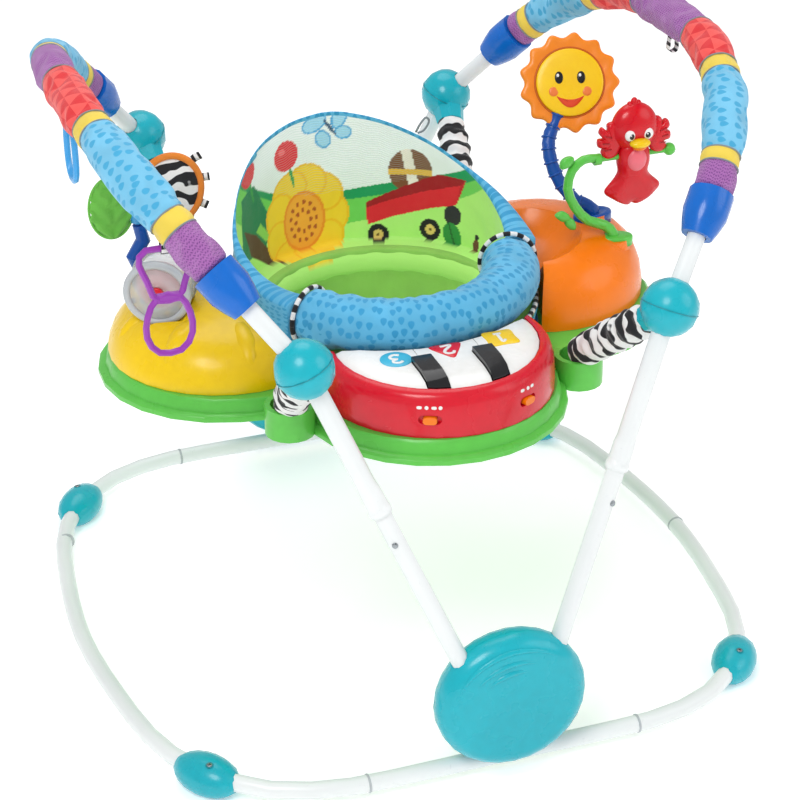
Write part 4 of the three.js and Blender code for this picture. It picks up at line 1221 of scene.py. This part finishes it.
def lathe(name, origin, axis, profile, material, body, slot, *nodes, columns=48, closed=False):
    """A form of revolution: profile is (distance along the axis, radius)."""
    axis = Vector(axis).normalized()
    side = axis.cross(Vector((0, 0, 1)) if abs(axis.z) < 0.9 else Vector((1, 0, 0))).normalized()
    up = axis.cross(side)
    rows = [circle(Vector(origin) + axis * a, side, up, r, columns) for a, r in profile]
    return dressed(skin(name, rows, [material], closed_rows=closed, caps=not closed), body, slot, *nodes)


def surface(node, point, up=(0, 0, 1)):
    """The plane that touches a CAD node nearest to a point."""
    _, near, normal, _ = NODES[node].closest_point_on_mesh(Vector(point) * MM)
    up = Vector(up)
    across = up.cross(normal).normalized()
    return plane(near / MM, across, normal.cross(across))


def screw(name, node, point, body, slot):
    """A cross-head screw in a shallow seat."""
    where, radius = surface(node, point), 3.4
    plate(f"{name}_seat", oval(radius + 1.6, radius + 1.6, 28), where,
          [(1.0, -0.6), (1.0, 0.25), (0.9, 0.45), (0.72, 0.1)], "teal_dark", body, slot)
    plate(name, oval(radius, radius, 24), where, [(1.0, -0.4), (1.0, 0.5), (0.85, 0.9), (0.4, 0.95)], "steel",
          body, slot)
    for number, (wide, tall) in enumerate(((0.62, 0.14), (0.14, 0.62))):
        bar = [(radius * a * wide, radius * b * tall) for a, b in ((-1, -1), (1, -1), (1, 1), (-1, 1))]
        plate(f"{name}_cross_{number + 1}", bar, where, [(1.0, 0.5), (1.0, 1.05)], "black", body, slot)


# ---------------------------------------------------------------- sun toy
def sun():
    out = Vector((-0.27, -0.86, 0.43)).normalized()
    across = Vector((0.95, -0.3, 0)).normalized()
    where = plane((292, 96, 662), across, out.cross(across))
    outline = []
    for k in range(168):
        turn = TAU * k / 168
        r = 59.0 + 7.0 * (0.5 + 0.5 * math.cos(13 * turn)) ** 1.2
        outline.append((r * math.cos(turn), r * math.sin(turn)))
    layers = [(0.5, -4.2), (0.93, -4.2), (0.985, -3.4), (1.0, -1.8), (1.0, 2.2), (0.985, 4.0), (0.95, 5.0),
              (0.88, 5.4), (0.80, 4.6), (0.74, 4.2), (0.5, 4.2)]
    plate("sun_petals", outline, where, layers, "petal", "sun_toy", "orange_plastic", "sun")
    face = [(0.9, 3.0), (0.985, 3.4), (1.0, 4.6), (1.0, 8.2), (0.985, 9.2), (0.95, 9.8), (0.8, 10.4),
            (0.6, 10.9),
            (0.4, 11.2), (0.2, 11.35)]
    plate("sun_face", oval(44, 44, 72), where, face, "sun_face", "sun_toy", "yellow_plastic")
    rim = circle(where[0] + where[3] * 4.6, where[1], where[2], 45.3, 72)
    hoop("sun_face_rim", rim, 1.5, "petal_dark", "sun_toy", "orange_plastic", 8)
    for side_name, side in SIDES.items():
        badge(f"sun_eye_{side_name}", oval(5.4, 8), moved(where, 14.5 * side, 6, 11.0), 0.7, "black",
              "sun_toy",
              "black_plastic")
        badge(f"sun_eye_glint_{side_name}", oval(1.7, 2.2, 20), moved(where, 14.5 * side - 1.4, 9, 11.7),
              0.35, "white",
              "sun_toy", "white_plastic")
        badge(f"sun_cheek_{side_name}", oval(6.2, 6.2), moved(where, 21.8 * side, -12, 10.6), 0.5, "cheek",
              "sun_toy",
              "orange_plastic")
    smile = [(-19 + 38 * k / 14, 11 - 5.5 * (1 - ((k - 7) / 7) ** 2)) for k in range(14, -1, -1)]
    smile += [(-18.6 + 37.2 * k / 14, 10.4 - 15.5 * (1 - ((k - 7) / 7) ** 2)) for k in range(15)]
    badge("sun_smile", smile, moved(where, 0, -28, 10.6), 0.6, "mouth", "sun_toy", "red_plastic")


def sun_stalk_details():
    """Ribs of the bendy stalk, and the plate that it stands on."""
    path = smooth_curve([(298, 24, 478), (297, 25, 512), (277, 34, 523), (261, 48, 545), (253, 62, 573),
                         (255, 74, 596), (265, 82, 612), (275, 86, 633)], 8)
    gone, number = 0.0, 0
    for a, b in zip(path, path[1:]):
        gone += (b - a).length
        if b.x > 284 and b.z < 560 or gone < 15:
            continue
        gone, number = 0.0, number + 1
        lathe(f"sun_stalk_rib_{number}", b, b - a,
              [(-1.6, 8.0), (-1.2, 9.9), (-0.4, 10.5), (0.4, 10.5), (1.2, 9.9),
              (1.6, 8.0)], "navy", "sun_toy", "blue_plastic", columns=24)
    where = plane((298, 24, 500), (1, 0.2, 0), (-0.2, 1, 0))
    foot = [(1.0, -8), (1.0, 4.5), (0.96, 6.6), (0.84, 7.8), (0.66, 7.8), (0.6, 7.0)]
    plate("sun_stalk_plate", oval(28, 18, 56), where, foot, "navy", "tray", "blue_plastic")
    hoop_foot = plane((309, -24, 487), (1, -0.25, 0), (0.25, 1, 0))
    plate("bird_hoop_plate", oval(24, 14, 48), hoop_foot, [(1.0, -8), (1.0, 3), (0.95, 5), (0.8, 6)], "leaf",
          "tray",
          "green_plastic")
    for number, (x, y, z, tilt) in enumerate(((240, -21, 602, 35), (236, -22, 528, -20),
                                              (246, -22, 517, -50))):
        turn = math.radians(tilt)
        leaf = plane((x, y, z), (math.cos(turn), 0, math.sin(turn)), (-math.sin(turn), 0, math.cos(turn)))
        nub = rounded([(-11, -1), (-7, 5), (-1, 7), (6, 5), (11, 0), (6, -5), (-1, -6), (-7, -4)])
        plate(f"bird_hoop_leaf_{number + 1}", nub, leaf,
              [(0.7, -4.6), (0.95, -3.4), (1.0, 0), (0.95, 3.4), (0.7, 4.6),
              (0.2, 5.2)], "leaf", "tray", "green_plastic")


# ---------------------------------------------------------------- bird toy
def bird():
    centre = Vector((334, -18, 599))

    def at(x, y, z):
        return centre + Vector((x, y, z))

    def head(p):
        swell = 1 + 0.05 * math.exp(-((p.z + 0.3) / 0.35) ** 2) * abs(p.x)
        return Vector((p.x * swell, p.y, p.z))

    red, dark = "bird_red", "bird_dark"
    ovoid("bird_head", at(0, 0, 38), (31.5, 19, 33), red, "bird_toy", "red_plastic", "bird", change=head)
    for number, (x, z, rx, rz) in enumerate(((-1, 70, 5, 8), (5, 68, 4, 6), (-7, 68, 4, 5))):
        ovoid(f"bird_crest_{number + 1}", at(x, 0, z), (rx, 5, rz), red, "bird_toy", "red_plastic", steps=12,
              columns=18)
    sections = [(18, 17, 13), (8, 21, 14.5), (-4, 23, 15.5), (-14, 22, 15), (-22, 19, 14), (-30, 24, 13.5),
                (-38, 32, 12.5), (-46, 38, 11), (-52, 38, 9.5), (-58, 31, 8.5), (-63, 20, 6.5), (-67, 9, 4)]
    rows = []
    for z, wide, deep in sections:
        ring = []
        for k in range(40):
            turn = TAU * k / 40
            c, s = math.cos(turn), math.sin(turn)
            flute = 1 + 0.05 * math.cos(6 * turn) * min(1, max(0, (-26 - z) / 16))
            x = math.copysign(abs(c) ** 0.86, c) * wide * flute
            ring.append(at(x, math.copysign(abs(s) ** 0.9, s) * deep * flute,
                           z + 2.5 * math.cos(4 * turn) * (z < -40)))
        rows.append(ring)
    body = dressed(skin("bird_body", rows, [red]), "bird_toy", "red_plastic")
    subdivide(body, 1)
    ovoid("bird_belly", at(0, -11.5, -3), (13.5, 7.5, 16), "pink", "bird_toy", "red_plastic")
    for side_name, side in SIDES.items():
        wing = [(0, -4), (8, -14), (19, -15), (25, -8), (22, -1), (30, 2), (30, 11), (23, 12), (29, 20),
                (25, 28),
                (17, 22), (17, 31), (9, 33), (5, 22), (-2, 14)]
        outline = rounded([(side * (a - 12), b - 8) for a, b in wing], 4)
        where = plane(at(side * 32, 0, 23), (1, 0, 0), (0, 0, 1))
        plate(f"bird_wing_{side_name}", outline, where,
              [(0.75, -6), (0.95, -4.6), (1.0, -2), (1.0, 2), (0.95, 4.6),
              (0.75, 6), (0.3, 7.4)], red, "bird_toy", "red_plastic")
        for number, (a, b) in enumerate(((12, -3), (15, 5), (12, 13))):
            path = [at(side * (32 + a - 10 + t * 9), -7.6 + 0.5 * t, 23 + b - 6 + t * (b * 0.22))
                    for t in (0, 0.35, 0.7, 1)]
            tube(f"bird_feather_line_{side_name}_{number + 1}", path, 0.8, dark, "bird_toy", "red_plastic", 8)
        ovoid(f"bird_eye_{side_name}", at(side * 12.5, -16.2, 33), (7.2, 4, 7.6), "white", "bird_toy",
              "white_plastic",
              steps=14, columns=24)
        ovoid(f"bird_pupil_{side_name}", at(side * 11.5, -18.4, 32.4), (3.9, 2.6, 4.4), "black", "bird_toy",
              "black_plastic", steps=12, columns=20)
        ovoid(f"bird_glint_{side_name}", at(side * 11.5 - 1.3, -20.3, 34.2), (1.1, 0.9, 1.1), "white",
              "bird_toy",
              "white_plastic", steps=8, columns=12)
    ovoid("bird_beak_top", at(0, -20, 22.5), (14, 9.5, 6), "yellow", "bird_toy", "yellow_plastic")
    ovoid("bird_beak_low", at(0, -18.5, 16.6), (9.5, 7.5, 4), "orange", "bird_toy", "orange_plastic")


# ---------------------------------------------------------------- drum toy
def drum():
    """A clear rattling drum with a red core and beads."""
    at, axis = Vector((-290, 8, 505)), Vector((0.45, 0.89, 0)).normalized()
    shell = [(-24, 41.6), (24, 41.6), (24, 39.8), (-24, 39.8)]
    lathe("drum_window", at, axis, shell, "clear", "drum_toy", "clear_plastic", "drum", closed=True)
    for number, way in enumerate((-1, 1)):
        rim = [(19 * way, 41.0), (20 * way, 42.6), (25 * way, 42.8), (27 * way, 41.2), (27.6 * way, 38),
               (26.4 * way, 34),
               (24 * way, 34), (22 * way, 39)]
        lathe(f"drum_rim_{number + 1}", at, axis, rim, "grey", "drum_toy", "clear_plastic", closed=True)
        pane = [(25.4 * way, 34.5), (25.4 * way, 8), (24.2 * way, 8), (24.2 * way, 34.5)]
        lathe(f"drum_pane_{number + 1}", at, axis, pane, "clear", "drum_toy", "clear_plastic", closed=True)
        lathe(f"drum_hub_{number + 1}", at, axis,
              [(24 * way, 9), (28 * way, 9), (29 * way, 7.5), (29.4 * way, 3)], "red",
              "drum_toy", "red_plastic", columns=32)
    core = [(-24, 9), (-20, 12), (-13, 24), (-4, 31), (4, 31), (13, 24), (20, 12), (24, 9)]
    lathe("drum_core", at, axis, core, "red", "drum_toy", "red_plastic")
    side = axis.cross(Vector((0, 0, 1))).normalized()
    colours = ["grey", "yellow", "light_blue", "green"]
    for k in range(16):
        turn = math.radians(205 + 8.5 * k)
        deep = (-15, -5, 5, 15)[k % 4]
        centre = at + axis * deep + side * (35.6 * math.cos(turn)) + Vector((0, 0, 35.6 * math.sin(turn)))
        ovoid(f"drum_bead_{k + 1}", centre, (3.7, 3.7, 3.7), colours[k % 4], "drum_toy", "clear_plastic",
              steps=10,
              columns=16)


# ---------------------------------------------------------------- flutter toy
def flutter():
    """Cloth leaf and wing that turn on the blue post."""
    x, y = -296, 88

    def crinkle(p):
        vein = 0.5 * math.exp(-(p.x / 0.08) ** 2)
        wave = noise.noise(Vector((p.x * 3.6, p.z * 5.4, 2.0))) + 0.7 * math.sin(9 * abs(p.x) - 11 * p.z)
        return Vector((p.x * (1 + 0.06 * math.sin(p.z * 17)), p.y * (1 - vein) + 0.55 * wave, p.z))

    leaf = ovoid("flutter_leaf", (x - 33, y, 583), (28, 5.5, 41), "leaf_cloth", "flutter_toy", "toy_fabric",
                 "flutter_wings", change=crinkle, steps=30, columns=44)
    wing = ovoid("flutter_wing", (x + 44, y, 596), (37, 6, 43), "zebra", "flutter_toy", "toy_fabric",
                 change=lambda p: Vector((p.x, p.y * (1 + 0.25 * math.sin(5 * p.z)), p.z)), steps=26,
                 columns=40)
    for label, cx, cz, rx, rz, material in (("wing", x + 44, 596, 39.5, 45.5, "orange_cloth"),
                                            ("leaf", x - 33, 583, 28.5, 41, "leaf_cloth")):
        ring = [Vector((cx + rx * math.cos(TAU * k / 64), y, cz + rz * math.sin(TAU * k / 64)))
                for k in range(64)]
        radius = 4.6 if label == "wing" else 1.6
        hoop(f"flutter_{label}_edge", ring, radius, material, "flutter_toy", "toy_fabric")
    hub = [(-22, 8), (-21, 9.6), (-8, 10), (8, 10), (21, 9.6), (22, 8)]
    lathe("flutter_hub", (x, y, 581), (0, 0, 1), hub, "light_blue", "flutter_toy", "blue_plastic", columns=32)
    for number, (dx, dz, lean) in enumerate(((74, 632, 0.5), (84, 606, 0.1), (80, 574, -0.5))):
        path = [Vector((x + dx + t * 9, y + 1.5 * math.sin(t * 3.1), dz + lean * t * 9))
                for t in (0, 0.3, 0.6, 0.9, 1.2)]
        rows = [[p + Vector((0, b * 0.9, 0)) + Vector((-lean, 0, 1)).normalized() * (a * 5.2)
                 for a, b in ((-1, -1), (1, -1), (1, 1), (-1, 1))] for p in path]
        dressed(skin(f"flutter_tab_{number + 1}", rows, ["webbing"]), "flutter_toy", "toy_fabric")


# ---------------------------------------------------------------- piano faces and small fittings
NUMERALS = {
    "one": [[(-4, 7), (1, 11), (1, -10)], [(-4, -10), (6, -10)]],
    "two": [[(-6, 6), (-3, 10.5), (3, 10.5), (6, 6.5), (4, 1), (-6, -9.5), (7, -9.5)]],
    "three": [[(-6, 8), (-1, 11), (5, 8), (4, 2.5), (-1, 1), (5, -1.5), (5.5, -7), (0, -10.5), (-6.5, -8)]],
}


def key_face(number, key, x, y, outline, material):
    where = plane((x, y, 471.2), (-1, 0, 0), (0, -1, 0))
    badge(f"key_badge_{number}", outline, where, 0.5, material, key, "white_plastic")
    for part, stroke in enumerate(NUMERALS[number]):
        path = smooth_curve([where[0] + where[1] * a + where[2] * b + Vector((0, 0, 0.35)) for a,
                             b in stroke], 5)
        tube(f"key_number_{number}_{part + 1}", path, lambda t,
             turn: 2.1 if abs(math.sin(turn)) < 0.5 else 1.1, "white",
             key, "white_plastic", 12)


def key_faces():
    triangle = rounded([(0, 21), (-9, 10), (-20, -10), (-16, -15), (0, -15), (16, -15), (20, -10), (9, 10)],
                       5)
    square = rounded([(-18, -18), (0, -18.6), (18, -18), (18.6, 0), (18, 18), (0, 18.6), (-18, 18),
                      (-18.6, 0)], 5)
    key_face("three", "key_1", -63, -222, oval(19.5, 19.5, 56), "badge_blue")
    key_face("two", "key_2", 4, -220, triangle, "red")
    key_face("one", "key_3", 75, -212, square, "yellow")


def switch_marks():
    for label, degrees, spread in (("volume", -113, (-5, -1.7, 1.7, 5)), ("power", -61, (-3.6, 0, 3.6))):
        for number, shift in enumerate(spread):
            turn = math.radians(degrees + shift)
            where = surface("piano_housing", (4 + 150 * math.cos(turn), -178 + 150 * math.sin(turn), 448))
            shape = oval(2.4, 2.4, 20) if number % 2 else rounded([(-2.6, -1.6), (2.6, -1.6), (2.6, 1.6),
                                                                   (-2.6, 1.6)], 3)
            badge(f"{label}_mark_{number + 1}", shape, where, 0.25, "white", "tray", "red_plastic")


def fittings():
    """Push buttons and collars of the legs, and a screw on each foot."""
    for corner, (sx, sy) in CORNERS.items():
        where = surface(f"leg_lower_{corner}", (sx * 134, sy * 415, 340), (sx * 0.4, 0, 1))
        plate(f"leg_button_{corner}", oval(3.6, 3.6, 24), where,
              [(1.0, -0.6), (1.0, 1.2), (0.85, 1.9), (0.4, 2.2)],
              "steel", "frame", "white_tube")
        screw(f"foot_screw_{corner}", f"foot_{corner}", (sx * 352, sy * 356, 46), "frame", "teal_plastic")
        foot, top = mirrored(LEG_FOOT, sx, sy), mirrored(BALL, sx, sy)
        collar = [(-10, 11.8), (-9, 13.8), (-2, 14.4), (0, 13.4), (5, 12.8), (6, 11.6)]
        lathe(f"leg_collar_{corner}", foot + (top - foot) * 0.53, top - foot, collar, "tube", "frame",
              "white_tube",
              columns=32)


def base_seams():
    """Rings where the base tubes plug into each other."""
    for number, (x, y, along) in enumerate(((-176, -427, (1, 0, 0)), (-181, 427, (1, 0, 0)),
                                            (426, -10, (0, 1, 0)),
                                            (-394, 247, (0.19, 0.98, 0)), (176, -427, (1, 0, 0)))):
        lathe(f"base_seam_{number + 1}", (x, y, 20), along,
              [(-1.5, 11.2), (-1.1, 12.0), (1.1, 12.0), (1.5, 11.2)], "grey",
              "frame", "white_tube", columns=32)


HUB_HALF_WIDTH, HUB_HALF_HEIGHT, HUB_Z = 95, 90, 114


def hub_reliefs():
    """Raised crescents on the upper half of each hub's face."""
    for end, sy in ENDS.items():
        cover = NODES[f"hub_cover_{end}"]
        y = max(abs(Vector(c).y) for c in cover.bound_box) / MM
        for number, (share, reach) in enumerate(((0.84, 62), (0.68, 44), (0.54, 34))):
            path = []
            for k in range(41):
                turn = math.radians(96 - sy * 8 + reach * (k / 20 - 1))
                point = Vector((HUB_HALF_WIDTH * share * math.cos(turn), sy * (y + 20),
                                HUB_Z + HUB_HALF_HEIGHT * share * math.sin(turn)))
                hit, near, _, _ = cover.ray_cast(point * MM, Vector((0, -sy, 0)))
                if hit:
                    path.append(near / MM - Vector((0, 1.2 * sy, 0)))
            tube(f"hub_crescent_{end}_{number + 1}", path, lambda t, _: 0.5 + 3.3 * math.sin(math.pi * t),
                 "teal", "frame",
                 "teal_plastic", 12)


BALL_SEAM_R = 34.7


def ball_seams():
    """The parting line of each ball joint."""
    for corner, (sx, sy) in CORNERS.items():
        centre = mirrored(BALL, sx, sy)
        along = (mirrored(LEG_FOOT, sx, sy) - centre).normalized()
        side = along.cross(Vector((sx, 0, 0))).normalized()
        up = along.cross(side)
        ring = circle(centre, side, up, BALL_SEAM_R, 72)
        hoop(f"ball_seam_{corner}", ring, 0.6, "teal_dark", "frame", "teal_plastic", 6)


DOME = Vector((-208, 20))


def dome_ridges():
    """Moulded ridges that run down the yellow station's dome."""
    for number, (degrees, low, high, size) in enumerate(((-92, 62, 138, 22), (-136, 62, 139, 23),
                                                         (-178, 66, 139, 21),
                                                        (140, 70, 138, 20))):
        turn = math.radians(degrees)
        path = []
        for k in range(13):
            reach = low + (high - low) * k / 12
            point = Vector((DOME.x + reach * math.cos(turn), DOME.y + reach * math.sin(turn), 520))
            hit, near, _, _ = NODES["yellow_station"].ray_cast(point * MM, Vector((0, 0, -1)))
            if hit:
                path.append(near / MM - Vector((0, 0, 0.62 * size)))
        tube(f"yellow_ridge_{number + 1}", path,
             lambda t, _, s=size: s * math.sqrt(max(0.02, 1 - (2 * t - 1) ** 2)) * 0.75, "yellow", "tray",
             "yellow_plastic", 20)


def elastic_loop():
    """A free loop of elastic sewn to the top edge of the seat."""
    base = on_wall(191, 58, 600)
    points = [base + Vector((0, -1, -4)), base + Vector((6, -3, 8)), base + Vector((14, -2, 15)),
              base + Vector((19, 0, 8)), base + Vector((12, 0, -3)), base + Vector((3, 0, -6))]
    tube("seat_elastic_loop", smooth_curve(points, 8), 1.5, "thread", "seat", "seat_fabric", 8)


make_materials()
make_camera()
make_studio()
dress_cad()
for name in SIDES:
    sleeve(name)
webbing_loops()
for name in CORNERS:
    tether(name)
seat_roll()
seat_back()
seat_sling()
sun()
sun_stalk_details()
bird()
drum()
flutter()
key_faces()
switch_marks()
fittings()
base_seams()
hub_reliefs()
ball_seams()
dome_ridges()
elastic_loop()
